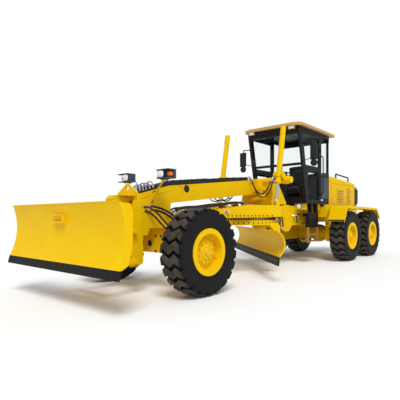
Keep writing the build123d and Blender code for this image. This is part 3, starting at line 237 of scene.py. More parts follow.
slotFinish = {
    "yellow_paint": "yellowPaint", "black_paint": "blackPaint", "cream_paint": "creamPaint",
    "edge_steel": "edgeSteel", "chrome_rod": "chromeRod", "cast_engine": "castEngine",
    "tyre_rubber": "tyreRubber", "cab_glass": "cabGlass", "dark_trim": "darkTrim", "black_trim": "darkTrim",
    "lamp_grey": "lampGrey", "tan_paint": "tanPaint",
}
for row in frame["record"]["subparts"]:
    shown = frame["nodes"][row["node"]]
    shown.data.materials.clear()
    shown.data.materials.append(materials[slotFinish[row["material_slot"]]])
print("materials made:", len(materials))

# Slot by finish, which addPiece looks up for each added piece unless it is told another, then leaves unused; lenses,
# labels and mirrors have none.
pieceSlot = {
    "yellowPaint": "yellow_paint", "wheelSteel": "yellow_paint", "blackPaint": "black_paint",
    "panelGrey": "black_paint", "rustSteel": "edge_steel", "boltSteel": "edge_steel", "edgeSteel": "edge_steel",
    "meshTan": "cream_paint", "fittingSteel": "lamp_grey", "lampGrey": "lamp_grey", "chromeRod": "chrome_rod",
    "boltBright": "chrome_rod", "rubberHose": "black_trim", "darkTrim": "black_trim", "seatFabric": "dark_trim",
    "tyreRubber": "tyre_rubber",
}

# Drawing places: X forward, Y left of the middle plane, Z up, with the axles at axleHeight.
axleHeight = 0.675
coverLow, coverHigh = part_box("beam_cover")
middle = (coverLow[1] + coverHigh[1]) / 2
hubLow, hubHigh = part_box("rim_front_left")
drop = (hubLow[2] + hubHigh[2]) / 2 - axleHeight
bodyOf = {node: body for body, nodes in frame["record"]["behaviour"]["bodies"].items() for node in nodes}
sides = (("Left", 1), ("Right", -1))


def place(x, y, z):
    return Vector((x, middle + y, z + drop))


# The same points on the left (side 1) or mirrored to the right (side -1).
def run(points, side=1):
    return [place(x, side * y, z) for x, y, z in points]


# Value on a bent line given as (x, value) points, in falling x where there are more than two.
def valueAt(x, line):
    for (x1, value1), (x2, value2) in zip(line, line[1:]):
        if x >= x2:
            break
    return value1 + (value2 - value1) * (x - x1) / (x2 - x1)


def meshOf(name, bm):
    bmesh.ops.recalc_face_normals(bm, faces=bm.faces)
    mesh = bpy.data.meshes.new(name)
    bm.to_mesh(mesh)
    bm.free()
    return mesh


def addPiece(name, shape, finish, body, slot=None, smooth=False, location=None):
    mesh = meshOf(name, shape) if isinstance(shape, bmesh.types.BMesh) else shape
    piece = bpy.data.objects.new(name, mesh)
    bpy.context.scene.collection.objects.link(piece)
    if location is not None:
        piece.location = location
    if not mesh.materials:
        mesh.materials.append(materials[finish])
    if smooth:
        mesh.shade_smooth()
    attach(piece, body)
    slot = slot or pieceSlot.get(finish)
    return piece


# Skin over loops of points; the ends are closed unless the last loop meets the first.
def loftInto(bm, loops, closed=False):
    loops = [[bm.verts.new(point) for point in loop] for loop in loops]
    for one, other in zip(loops, loops[1:] + loops[:1] if closed else loops[1:]):
        for i in range(len(one)):
            j = (i + 1) % len(one)
            bm.faces.new((one[i], one[j], other[j], other[i]))
    if not closed:
        bm.faces.new(list(reversed(loops[0])))
        bm.faces.new(loops[-1])


def boxInto(bm, low, high, bevel=0.0, at=(0, 0, 0)):
    made = bmesh.ops.create_cube(bm, size=1.0)["verts"]
    low, high = Vector(low) + Vector(at), Vector(high) + Vector(at)
    size = [max(abs(b - a), 0.0005) for a, b in zip(low, high)]
    for vert in made:
        vert.co = (low + high) / 2 + Vector([c * s for c, s in zip(vert.co, size)])
    if bevel > 0:
        edges = list({edge for vert in made for edge in vert.link_edges})
        bmesh.ops.bevel(bm, geom=edges, offset=min(bevel, min(size) * 0.45), segments=2, affect="EDGES",
                        profile=0.7)


# Turned shape from (reach along the axis, radius) rings.
def ringInto(bm, start, axis, rings, steps):
    axis = Vector(axis).normalized()
    turn = axis.to_track_quat("Z", "Y").to_matrix()
    angles = [2 * math.pi * i / steps for i in range(steps)]
    loftInto(bm, [[Vector(start) + axis * reach + turn @ Vector((radius * math.cos(a), radius * math.sin(a), 0))
                   for a in angles] for reach, radius in rings])


# Hexagon head on its washer.
def boltInto(bm, spot, axis, radius, height):
    washer = height * 0.25
    ringInto(bm, spot, axis, [(0, radius * 1.45), (washer, radius * 1.4)], 16)
    ringInto(bm, spot, axis, [(washer, radius), (height * 0.9, radius), (height, radius * 0.86)], 6)


# Round bar, bead or hose along placed points; a hose has a crimped collar at each end.
def hose(name, points, radius, finish, body, collar=False):
    curve = bpy.data.curves.new(name, "CURVE")
    curve.dimensions = "3D"
    spline = curve.splines.new("NURBS")
    spline.points.add(len(points) - 1)
    for point, spot in zip(spline.points, points):
        point.co = (*spot, 1.0)
    spline.order_u = 3
    spline.use_endpoint_u = True
    curve.resolution_u = 8
    curve.bevel_depth = radius
    curve.bevel_resolution = 3
    curve.materials.append(materials[finish])
    piece = bpy.data.objects.new(name, curve)
    bpy.context.scene.collection.objects.link(piece)
    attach(piece, body)
    if not collar:
        return
    bm = bmesh.new()
    crimp = [(reach * radius, width * radius) for reach, width in ((-1, 1.1), (0, 1.5), (5, 1.5), (5.5, 1.15))]
    nut = [(-2.2 * radius, 1.7 * radius), (-0.6 * radius, 1.7 * radius)]
    for spot, inner in ((points[0], points[1]), (points[-1], points[-2])):
        ringInto(bm, spot, inner - spot, crimp, 12)
        ringInto(bm, spot, inner - spot, nut, 6)
    addPiece(name + "Collars", bm, "chromeRod", body)


tyre = {
    "lugs": 22, "halfWidth": 0.2,
    # places along one lug's spacing, and how far up the lug's side each lies
    "lugShape": ((-0.5, -0.35), (-0.39, -0.3), (-0.355, 0.5), (-0.33, 0.97), (-0.28, 1.0), (0.0, 1.0), (0.24, 1.0),
                 (0.29, 0.97), (0.32, 0.5), (0.36, -0.3)),
    # share of the half width and radius on a lug, the same between lugs, and the lug's sweep in lug spacings
    "stations": (
        (0.83, 0.310, 0.83, 0.310, 0.10), (0.835, 0.343, 0.835, 0.343, 0.10), (0.88, 0.366, 0.88, 0.366, 0.10),
        (0.94, 0.392, 0.94, 0.392, 0.10), (0.975, 0.397, 0.975, 0.397, 0.10), (0.975, 0.409, 0.975, 0.409, 0.10),
        (0.965, 0.413, 0.965, 0.413, 0.10), (0.99, 0.450, 0.99, 0.450, 0.10), (1.0, 0.490, 1.0, 0.490, 0.10),
        (0.999, 0.525, 0.999, 0.525, 0.10), (0.99, 0.553, 0.985, 0.550, 0.10), (0.98, 0.570, 0.955, 0.562, 0.10),
        (0.965, 0.592, 0.90, 0.573, 0.10), (0.93, 0.606, 0.83, 0.582, 0.10), (0.88, 0.6135, 0.80, 0.587, 0.09),
        (0.70, 0.6235, 0.69, 0.592, -0.06), (0.50, 0.629, 0.50, 0.595, -0.22), (0.25, 0.6315, 0.25, 0.597, -0.02),
        (0.0, 0.632, 0.0, 0.598, 0.18),
    ),
}


def tyreMesh():
    bm = bmesh.new()
    half = tyre["stations"]
    rings = []
    for side, stations in ((1, half), (-1, half[-2::-1])):
        for topShare, topRadius, lowShare, lowRadius, sweep in stations:
            ring = []
            for lug in range(tyre["lugs"]):
                for turn, rise in tyre["lugShape"]:
                    angle = 2 * math.pi * (lug + turn + sweep) / tyre["lugs"]
                    radius = lowRadius + (topRadius - lowRadius) * rise
                    out = side * tyre["halfWidth"] * (lowShare + (topShare - lowShare) * rise)
                    ring.append((radius * math.sin(angle), out, radius * math.cos(angle)))
            rings.append(ring)
    loftInto(bm, rings, closed=True)
    return meshOf("tyre", bm)


wheelNuts = {
    # how many, on which radius, how far out they sit, and their size against the wheel nut's
    "rows": ((10, 0.143, 0.105, 1.0), (8, 0.08, 0.13, 0.6)),
    "radius": 0.013, "height": 0.02,
    "cap": ((0, 0.058), (0.008, 0.056), (0.02, 0.048), (0.024, 0.03)), "capSeat": 0.13,
    "stem": ((0, 0.011), (0.03, 0.009), (0.034, 0.006), (0.07, 0.005)), "stemCircle": 0.235, "stemSeat": 0.058,
}


def wheelNutShape(side):
    bm = bmesh.new()
    for count, circle, seat, size in wheelNuts["rows"]:
        for i in range(count):
            angle = 2 * math.pi * (i + 0.5) / count
            spot = Vector((circle * math.cos(angle), side * seat, circle * math.sin(angle)))
            boltInto(bm, spot, (0, side, 0), wheelNuts["radius"] * size, wheelNuts["height"] * size)
    ringInto(bm, (0, side * wheelNuts["capSeat"], 0), (0, side, 0), wheelNuts["cap"], 32)
    for angle in (0.4, 3.54):  # valve stem and balance hole plug
        circle = wheelNuts["stemCircle"]
        spot = (circle * math.cos(angle), side * wheelNuts["stemSeat"], circle * math.sin(angle))
        ringInto(bm, spot, (0, side, 0), wheelNuts["stem"], 10)
    return bm


sharedTyre = tyreMesh()
for corner in ("front_left", "front_right", "mid_left", "mid_right", "rear_left", "rear_right"):
    rimLow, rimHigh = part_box("rim_" + corner)
    tyreLow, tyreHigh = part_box("tyre_" + corner)
    hub = (rimLow + rimHigh) / 2
    hub.y = (tyreLow.y + tyreHigh.y) / 2
    body = bodyOf["tyre_" + corner]
    casing = addPiece("tyreCasing_" + corner, sharedTyre, "tyreRubber", body, location=hub)
    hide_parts("tyre_" + corner)
    nuts = wheelNutShape(1 if corner.endswith("left") else -1)
    addPiece("wheelNuts_" + corner, nuts, "wheelSteel", body, location=hub)
print("tyres and wheel nuts made")


# Domed lens or dish with rounded corners; a power of 2 makes it an ellipse.
def lensInto(bm, centre, halfWide, halfHigh, depth, bulge, facing=(1, 0, 0), power=4.0):
    out = Vector(facing).normalized()
    wide = Vector((0, 0, 1)).cross(out).normalized()
    high = out.cross(wide)
    outline = []
    for i in range(28):
        c, s = math.cos(2 * math.pi * i / 28), math.sin(2 * math.pi * i / 28)
        outline.append(wide * math.copysign(abs(c) ** (2 / power), c) * halfWide
                       + high * math.copysign(abs(s) ** (2 / power), s) * halfHigh)
    loftInto(bm, [[centre + point * share + out * rise for point in outline] for share, rise in (
        (1.0, -depth), (1.0, 0.0), (0.96, bulge * 0.35), (0.82, bulge * 0.75), (0.5, bulge * 0.95), (0.2, bulge))])


headLamp = {
    "lens": (3.536, 0.434, 1.8225), "lensHalf": (0.066, 0.054), "bulge": 0.018,
    "turnLens": (3.475, 0.565, 1.8225), "turnHalf": (0.045, 0.042),
    "postX": (3.4675, 3.4905),
    "post": ((0.1485, 1.389), (0.1485, 1.4515), (0.4385, 1.7585), (0.4835, 1.7585), (0.4415, 1.730)),
    "foot": (3.475, 0.455, 1.752), "footHalf": 0.05, "footBolts": 0.035,
    "lead": ((3.40, 0.43, 1.80), (3.36, 0.42, 1.79), (3.36, 0.34, 1.70), (3.42, 0.24, 1.60), (3.46, 0.16, 1.56)),
}


def makeHeadLamps():
    wide, high = headLamp["lensHalf"]
    for name, side in sides:
        centre, turnSpot, foot = run((headLamp["lens"], headLamp["turnLens"], headLamp["foot"]), side)
        bm = bmesh.new()
        lensInto(bm, centre, wide + 0.012, high + 0.01, 0.01, 0.006)
        addPiece("headLampBezel" + name, bm, "darkTrim", "front_frame", "dark_trim", True)
        bm = bmesh.new()
        lensInto(bm, centre + Vector((0.006, 0, 0)), wide, high, 0.008, headLamp["bulge"])
        addPiece("headLampLens" + name, bm, "lampLens", "front_frame", smooth=True)
        bm = bmesh.new()
        lensInto(bm, turnSpot, *headLamp["turnHalf"], 0.04, 0.03, power=3.0)
        addPiece("turnLampLens" + name, bm, "amberLens", "front_frame", smooth=True)
        bm = bmesh.new()
        loftInto(bm, [run([(x, y, z) for y, z in headLamp["post"]], side) for x in headLamp["postX"]])
        addPiece("headLampPost" + name, bm, "yellowPaint", "front_frame")
        bm = bmesh.new()
        half, corner = headLamp["footHalf"], headLamp["footBolts"]
        boxInto(bm, (-half, -half, -0.012), (half, half, -0.001), 0.003, foot)
        for y in (-corner, corner):
            for x in (-corner, corner):
                boltInto(bm, foot + Vector((x, y, -0.012)), (0, 0, -1), 0.007, 0.009)
        addPiece("headLampFoot" + name, bm, "boltSteel", "front_frame")
        hose("headLampLead" + name, run(headLamp["lead"], side), 0.007, "rubberHose", "front_frame")


workLamps = {
    "roof": (-0.2165, 0.55, 3.1875), "roofHalf": (0.066, 0.028),
    "sill": (-0.50, 0.60, 1.40), "sillAim": (1, 0, -0.15), "sillLens": 0.056,
    "sillCase": ((-0.05, 0.03), (-0.045, 0.05), (-0.005, 0.066), (0.018, 0.07), (0.018, 0.06)),
    "tailOut": 0.30, "tailDown": 0.16, "tailLenses": (("redLens", -0.032), ("amberLens", 0.034)),
}


def makeWorkLamps():
    guardLow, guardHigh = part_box("radiator_guard")
    for name, side in sides:
        roofSpot, spot = run((workLamps["roof"], workLamps["sill"]), side)
        bm = bmesh.new()
        lensInto(bm, roofSpot, *workLamps["roofHalf"], 0.004, 0.008)
        addPiece("roofLampLens" + name, bm, "lampLens", "rear_frame", smooth=True)
        bm = bmesh.new()
        ringInto(bm, spot, workLamps["sillAim"], workLamps["sillCase"], 28)
        boxInto(bm, (-0.07, -0.02, 0.0), (-0.045, 0.02, 0.085), 0.003, spot)
        addPiece("sillLamp" + name, bm, "lampGrey", "rear_frame", smooth=True)
        bm = bmesh.new()
        half = workLamps["sillLens"]
        lensInto(bm, spot + Vector((0.018, 0, -0.003)), half, half, 0.002, 0.014, workLamps["sillAim"], 2.0)
        addPiece("sillLampLens" + name, bm, "lampLens", "rear_frame", smooth=True)
        tail = Vector((guardLow.x, middle + side * workLamps["tailOut"], guardHigh.z - workLamps["tailDown"]))
        bm = bmesh.new()
        boxInto(bm, (-0.022, -0.075, -0.045), (0.001, 0.075, 0.045), 0.006, tail)
        addPiece("tailLampCase" + name, bm, "darkTrim", "rear_frame", "dark_trim")
        for finish, shift in workLamps["tailLenses"]:
            bm = bmesh.new()
            lensInto(bm, tail + Vector((-0.022, side * shift, 0)), 0.027, 0.034, 0.002, 0.01, (-1, 0, 0))
            addPiece("tailLampLens" + name + finish, bm, finish, "rear_frame", smooth=True)


makeHeadLamps()
makeWorkLamps()
print("lamps made")


mast = {
    "face": 3.826, "bolts": ((0.094, 1.401), (0.115, 1.174), (0.130, 0.62), (0.27, 1.30), (0.27, 0.80)),
    "sideBolts": ((4.030, 0.34, 0.62), (4.030, 0.34, 0.90)),
    "pins": ((0.04, (3.985, 0.41, 0.54)), (0.034, (3.985, 0.40, 0.97))),
    "neckWeld": ((3.76, 0.151, 1.446), (3.55, 0.151, 1.50), (3.30, 0.151, 1.565), (3.07, 0.151, 1.618)),
    "mastWeld": ((3.828, 0.236, 1.53), (3.828, 0.29, 1.30), (3.828, 0.336, 1.06)),
    "plug": (2.701, 0.122, 1.66),
    "plugRings": ((0, 0.064), (0.03, 0.064), (0.036, 0.06), (0.042, 0.045), (0.044, 0.02)),
    "crease": ((2.90, 0.152, 1.70), (2.84, 0.156, 1.72), (2.79, 0.157, 1.66), (2.82, 0.156, 1.58),
               (2.87, 0.153, 1.55)),
}


def makeMast():
    bm = bmesh.new()
    for y, z in mast["bolts"]:
        for side in (1, -1):
            boltInto(bm, place(mast["face"], side * y, z), (1, 0, 0), 0.013, 0.014)
    addPiece("mastBolts", bm, "rustSteel", "front_frame")
    bm = bmesh.new()
    for side in (1, -1):
        for spot in run(mast["sideBolts"], side):
            boltInto(bm, spot, (0, side, 0), 0.02, 0.02)
        for radius, spot in mast["pins"]:
            rings = ((0, radius), (0.012, radius), (0.016, radius - 0.006))
            ringInto(bm, *run((spot,), side), (0, side, 0), rings, 24)
    addPiece("mastPinCaps", bm, "yellowPaint", "front_frame")
    for name, side in sides:
        hose("neckWeld" + name, run(mast["neckWeld"], side), 0.006, "yellowPaint", "front_frame")
        hose("mastWeld" + name, run(mast["mastWeld"], side), 0.004, "yellowPaint", "front_frame")
        bm = bmesh.new()
        ringInto(bm, *run((mast["plug"],), side), (0, side, 0), mast["plugRings"], 32)
        addPiece("beamPlug" + name, bm, "darkTrim", "front_frame", smooth=True)
        hose("beamCrease" + name, run(mast["crease"], side), 0.005, "yellowPaint", "front_frame")


cover = {
    "lids": 5, "gap": 0.012, "thickness": 0.007, "half": 0.104, "front": (3.003, 1.780), "rear": (0.822, 2.002),
    "boltHalf": 0.085, "boltShares": (0.08, 0.5, 0.92),
}


def makeCover():
    bm = bmesh.new()
    front, rear = Vector(cover["front"]), Vector(cover["rear"])
    half, thickness = cover["half"], cover["thickness"]
    for i in range(cover["lids"]):
        near, far = front.lerp(rear, i / cover["lids"]), front.lerp(rear, (i + 1) / cover["lids"])
        near.x -= cover["gap"]
        far.x += cover["gap"]
        lift = 0.001 + 0.004 * (i % 2)
        loftInto(bm, [[place(x, y, z + rise) for (x, z), y in
                       ((near, -half), (near, half), (far, half), (far, -half))] for rise in (lift, lift + thickness)])
        for share in cover["boltShares"]:
            x, z = near.lerp(far, share)
            for y in (-cover["boltHalf"], cover["boltHalf"]):
                boltInto(bm, place(x, y, z + lift + thickness), (0.1, 0, 1), 0.008, 0.008)
    addPiece("coverLids", bm, "blackPaint", "front_frame")


nose = {
    "top": ((3.78, 1.563), (3.003, 1.780)),
    "pipes": ((3.70, 0.052), (3.64, 0.066), (3.58, 0.06), (3.52, 0.072), (3.45, 0.06), (3.38, 0.068)),
    # a pipe's course: shift forward, Y, share of its rise, and shift up
    "bend": ((0, -0.094, 0, -0.01), (0, -0.08, 0.7, 0), (0.01, -0.03, 1, 0), (0.015, 0.03, 1, 0),
             (0.02, 0.08, 0.7, 0), (0.02, 0.094, 0, -0.015)),
    "pipeRadius": 0.009, "blockX": (3.41, 3.62), "blockHalf": 0.045, "ports": (3.44, 3.49, 3.54, 3.59),
}


def makeNosePipes():
    bm = bmesh.new()
    (rear, front), half = nose["blockX"], nose["blockHalf"]
    loftInto(bm, [[place(x, y, valueAt(x, nose["top"]) + up) for x, y in
                   ((rear, -half), (rear, half), (front, half), (front, -half))] for up in (-0.002, 0.035)])
    for x in nose["ports"]:
        for side in (-1, 1):
            spot = place(x, side * half, valueAt(x, nose["top"]) + 0.015)
            ringInto(bm, spot, (0, side, 0.3), [(0, 0.014), (0.022, 0.014)], 6)
    addPiece("noseValveBlock", bm, "fittingSteel", "front_frame")
    for i, (x, rise) in enumerate(nose["pipes"]):
        z = valueAt(x, nose["top"])
        bend = [place(x + ahead, y, z + rise * share + up) for ahead, y, share, up in nose["bend"]]
        hose("nosePipe%d" % i, bend, nose["pipeRadius"], "fittingSteel", "front_frame", collar=True)


# Each hose's radius and course on the left; the right one mirrors it.
frontHoses = {
    "neckHoseHigh": (0.015, ((3.80, 0.24, 1.308), (3.76, 0.29, 1.325), (3.70, 0.345, 1.325), (3.63, 0.43, 1.26),
                             (3.56, 0.53, 1.12), (3.50, 0.62, 1.0), (3.44, 0.66, 0.955))),
    "neckHoseLow": (0.015, ((3.80, 0.24, 1.25), (3.75, 0.28, 1.262), (3.68, 0.32, 1.255), (3.61, 0.39, 1.18),
                            (3.55, 0.48, 1.05), (3.50, 0.56, 0.96), (3.44, 0.61, 0.93))),
    "bolsterHoseHigh": (0.018, ((3.62, 0.15, 1.335), (3.56, 0.22, 1.345), (3.46, 0.29, 1.32), (3.36, 0.34, 1.28),
                                (3.27, 0.42, 1.20), (3.22, 0.50, 1.08), (3.21, 0.55, 0.985))),
    "bolsterHoseLow": (0.018, ((3.58, 0.15, 1.28), (3.50, 0.20, 1.285), (3.40, 0.27, 1.26), (3.31, 0.33, 1.21),
                               (3.24, 0.40, 1.12), (3.20, 0.46, 1.03), (3.19, 0.50, 0.965))),
    "underBeamLoop": (0.011, ((1.80, 0.12, 1.545), (1.76, 0.125, 1.50), (1.68, 0.13, 1.478), (1.58, 0.13, 1.472),
                              (1.49, 0.128, 1.50), (1.42, 0.12, 1.545), (1.40, 0.12, 1.585))),
    "underBeamLoopInner": (0.011, ((1.70, 0.085, 1.555), (1.66, 0.09, 1.51), (1.60, 0.09, 1.495),
                                   (1.53, 0.09, 1.51), (1.47, 0.088, 1.545), (1.45, 0.085, 1.58))),
    "saddleHoseOuter": (0.013, ((0.83, 0.15, 1.99), (0.83, 0.20, 1.95), (0.815, 0.25, 1.80), (0.79, 0.32, 1.63),
                                (0.76, 0.42, 1.56), (0.735, 0.52, 1.60), (0.715, 0.60, 1.74), (0.70, 0.63, 1.88),
                                (0.67, 0.64, 1.97))),
    "saddleHoseInner": (0.013, ((0.83, 0.15, 1.93), (0.825, 0.21, 1.89), (0.80, 0.26, 1.76), (0.775, 0.33, 1.67),
                                (0.75, 0.41, 1.635), (0.73, 0.48, 1.68), (0.71, 0.54, 1.79), (0.69, 0.58, 1.90),
                                (0.65, 0.60, 1.96))),
}
hosePorts = {"saddle": (0.60, 0.655, 1.985), "beam": (0.812, 0.15, 1.955)}


def makeFrontHoses():
    for name, (radius, points) in frontHoses.items():
        for label, side in sides:
            hose(name + label, run(points, side), radius, "rubberHose", "front_frame", collar=True)
    bm = bmesh.new()
    for side in (1, -1):
        port, clamp = run(hosePorts.values(), side)
        boxInto(bm, (-0.03, -0.03, -0.07), (0.07, 0.012, 0.03), 0.006, port)
        boxInto(bm, (-0.02, -0.02, -0.06), (0.02, 0.015, 0.06), 0.004, clamp)
    addPiece("hosePorts", bm, "fittingSteel", "front_frame")


makeMast()
makeCover()
makeNosePipes()
makeFrontHoses()
print("mast, beam cover and hoses made")


# Three hoses run back over the drawbar, each with its radius and course.
drawbarHoses = {
    "a": (0.019, ((2.97, 0.05, 1.19), (2.93, 0.10, 1.27), (2.80, 0.17, 1.33), (2.50, 0.26, 1.335),
                  (2.10, 0.30, 1.37), (1.70, 0.31, 1.43), (1.35, 0.28, 1.45), (1.10, 0.20, 1.435),
                  (0.98, 0.12, 1.42))),
    "b": (0.019, ((2.97, 0.02, 1.19), (2.92, 0.06, 1.28), (2.78, 0.12, 1.345), (2.48, 0.20, 1.35),
                  (2.08, 0.24, 1.385), (1.70, 0.25, 1.44), (1.36, 0.22, 1.462), (1.10, 0.14, 1.445),
                  (0.98, 0.07, 1.42))),
    "c": (0.016, ((2.97, -0.02, 1.19), (2.92, -0.06, 1.27), (2.78, -0.10, 1.33), (2.45, -0.14, 1.34),
                  (2.05, -0.17, 1.38), (1.70, -0.20, 1.42), (1.42, -0.195, 1.44))),
}
drawbar = {
    "clamps": ((2.50, 0.23), (1.90, 0.275), (1.45, 0.25)), "clampSize": (0.03, 0.15, 0.10), "clampTurn": -8,
    "side": ((2.385, 0.430), (1.10, 0.70), (0.90, 0.815)),  # half width along the frame
    "top": ((2.385, 1.28), (1.495, 1.399), (0.90, 1.399)),
    "bolts": 15, "boltsFrom": 2.30, "boltsTo": 0.95, "sideBoltZ": 1.19,
}
reflector = {"spot": (2.05, 0.512, 1.262), "size": (0.10, 0.012, 0.05), "turn": -11.9}


# Box turned about the vertical.
def turnedBox(bm, centre, size, degrees):
    made = bmesh.new()
    half = Vector(size) / 2
    boxInto(made, -half, half, 0.002)
    made.transform(Matrix.Translation(centre) @ Matrix.Rotation(math.radians(degrees), 4, "Z"))
    spare = bpy.data.meshes.new("spare")
    made.to_mesh(spare)
    made.free()
    bm.from_mesh(spare)
    bpy.data.meshes.remove(spare)


def makeDrawbar():
    for name, (radius, points) in drawbarHoses.items():
        hose("drawbarHose_" + name, run(points), radius, "rubberHose", "drawbar", collar=True)
    bm = bmesh.new()
    for x, y in drawbar["clamps"]:
        spot = place(x, y, 1.23 + 0.13 * min(1, (3.0 - x) / 1.5))
        turnedBox(bm, spot, drawbar["clampSize"], drawbar["clampTurn"])
    addPiece("hoseClamps", bm, "boltSteel", "drawbar")
    x, y, z = reflector["spot"]
    wide, thick, tall = reflector["size"]
    for label, side in sides:
        bm = bmesh.new()
        turnedBox(bm, place(x, side * y, z), reflector["size"], side * reflector["turn"])
        addPiece("reflectorPlate" + label, bm, "labelWhite", "drawbar")
        bm = bmesh.new()
        spot = place(x + 0.012, side * (y + 0.006), z)
        turnedBox(bm, spot, (wide * 0.5, thick, tall * 0.7), side * reflector["turn"])
        addPiece("reflectorRed" + label, bm, "redLens", "drawbar")
    bm = bmesh.new()
    for i in range(drawbar["bolts"]):
        x = drawbar["boltsFrom"] + (drawbar["boltsTo"] - drawbar["boltsFrom"]) * i / (drawbar["bolts"] - 1)
        y, top = valueAt(x, drawbar["side"]), valueAt(x, drawbar["top"])
        for side in (1, -1):
            boltInto(bm, place(x, side * (y - 0.05), top), (0, 0, 1), 0.013, 0.016)
            boltInto(bm, place(x, side * (y + 0.001), drawbar["sideBoltZ"]), (0.2, side * 0.98, 0), 0.011, 0.012)
    addPiece("drawbarBolts", bm, "rustSteel", "drawbar")


circle = {
    "centreX": 0.945, "teeth": 96, "toothRoot": 0.7415, "toothTip": 0.7615, "toothZ": (1.105, 1.146),
    "bolts": 48, "boltRadius": 0.7445, "boltZ": 1.05,
    "hoses": {
        "bladeHoseFront": ((0.74, 0.70, 1.10), (0.72, 0.78, 1.17), (0.70, 0.83, 1.10), (0.76, 0.84, 1.03),
                           (0.70, 0.82, 0.98), (0.60, 0.77, 0.97)),
        "bladeHoseRear": ((0.62, 0.66, 1.09), (0.58, 0.73, 1.18), (0.50, 0.76, 1.14), (0.54, 0.78, 1.04),
                          (0.46, 0.75, 0.97), (0.40, 0.68, 0.93)),
    },
}
circleCentre = place(circle["centreX"], 0, 0)


def aroundCircle(radius, angle, z):
    return circleCentre + Vector((radius * math.cos(angle), radius * math.sin(angle), z))


def makeCircle():
    bm = bmesh.new()
    half = math.pi / circle["teeth"] / 2
    root, tip = circle["toothRoot"], circle["toothTip"]
    for i in range(circle["teeth"]):
        angle = 2 * math.pi * i / circle["teeth"]
        corners = ((root, -1.5 * half), (root, 1.5 * half), (tip, 0.8 * half), (tip, -0.8 * half))
        loftInto(bm, [[aroundCircle(radius, angle + turn, z) for radius, turn in corners]
                      for z in circle["toothZ"]])
    addPiece("circleTeeth", bm, "edgeSteel", "circle")
    bm = bmesh.new()
    for i in range(circle["bolts"]):
        angle = 2 * math.pi * (i + 0.5) / circle["bolts"]
        spot = aroundCircle(circle["boltRadius"], angle, circle["boltZ"])
        boltInto(bm, spot, (math.cos(angle), math.sin(angle), 0), 0.010, 0.011)
    addPiece("circleBolts", bm, "rustSteel", "circle")
    for name, points in circle["hoses"].items():
        hose(name, run(points), 0.015, "rubberHose", "circle", collar=True)


# The blade's own directions: X out of its face, Y along it, turned about the circle's centre.
blade = {
    "turn": -41.1, "edgeBolts": 24, "edgeBoltHalf": 1.78, "edgeBoltRows": ((0.385, -0.2377), (0.455, -0.2454)),
    "seams": {"High": (-0.247, 0.502), "Low": (-0.2405, 0.425)}, "seamY": (-1.825, -0.6, 0.6, 1.825),
    "railBoltX": -0.452, "railBoltY": (0.30, 0.66), "railBoltZ": (0.48, 0.86),
    "cap": (-0.575, 0.595, 0.47), "shoeBolts": ((-0.47, 0.592, 0.66), (-0.47, 0.592, 0.90)),
}
bladeTurn = Matrix.Rotation(math.radians(blade["turn"]), 3, "Z")


def bladePlace(x, y, z):
    return circleCentre + bladeTurn @ Vector((x, y, z))


def makeBlade():
    bm = bmesh.new()
    for i in range(blade["edgeBolts"]):
        y = blade["edgeBoltHalf"] * (2 * i / (blade["edgeBolts"] - 1) - 1)
        for z, x in blade["edgeBoltRows"]:
            ringInto(bm, bladePlace(x, y, z), bladeTurn @ Vector((1, 0, 0.11)), [(0, 0.013), (0.005, 0.011)], 12)
    addPiece("edgeBolts", bm, "boltSteel", "moldboard")
    for name, (x, z) in blade["seams"].items():
        line = [bladePlace(x, y, z) for y in blade["seamY"]]
        hose("edgeSeam" + name, line, 0.005, "boltSteel", "moldboard")
    bm = bmesh.new()
    for side in (1, -1):
        for z in blade["railBoltZ"]:
            for y in blade["railBoltY"]:
                spot = bladePlace(blade["railBoltX"], side * y, z)
                boltInto(bm, spot, bladeTurn @ Vector((-1, 0, 0)), 0.012, 0.012)
    addPiece("railBolts", bm, "boltSteel", "moldboard")
    bm = bmesh.new()
    for side in (1, -1):
        out = bladeTurn @ Vector((0, side, 0))
        x, y, z = blade["cap"]
        ringInto(bm, bladePlace(x, side * y, z), out, [(0, 0.045), (0.014, 0.045), (0.02, 0.036)], 24)
        for x, y, z in blade["shoeBolts"]:
            boltInto(bm, bladePlace(x, side * y, z), out, 0.014, 0.014)
    addPiece("bracketCaps", bm, "yellowPaint", "blade_bracket")


makeDrawbar()
makeCircle()
makeBlade()
print("drawbar, circle and blade dressed")


dozer = {
    "tab": (4.862, -0.0175, 1.16), "tabPlates": (1.21, 1.11),
    "edgeBolts": 20, "edgeBoltHalf": 1.33, "edgeBoltZ": (0.53, 0.575), "edge": ((0.60, 4.957), (0.49, 4.985)),
    "pins": ((0.045, (4.685, 0.432, 0.56)), (0.036, (4.685, 0.432, 0.99))),
    "bead": ((4.92, -1.345, 1.351), (4.92, -0.5, 1.351), (4.92, 0.5, 1.351), (4.92, 1.345, 1.351)),
}


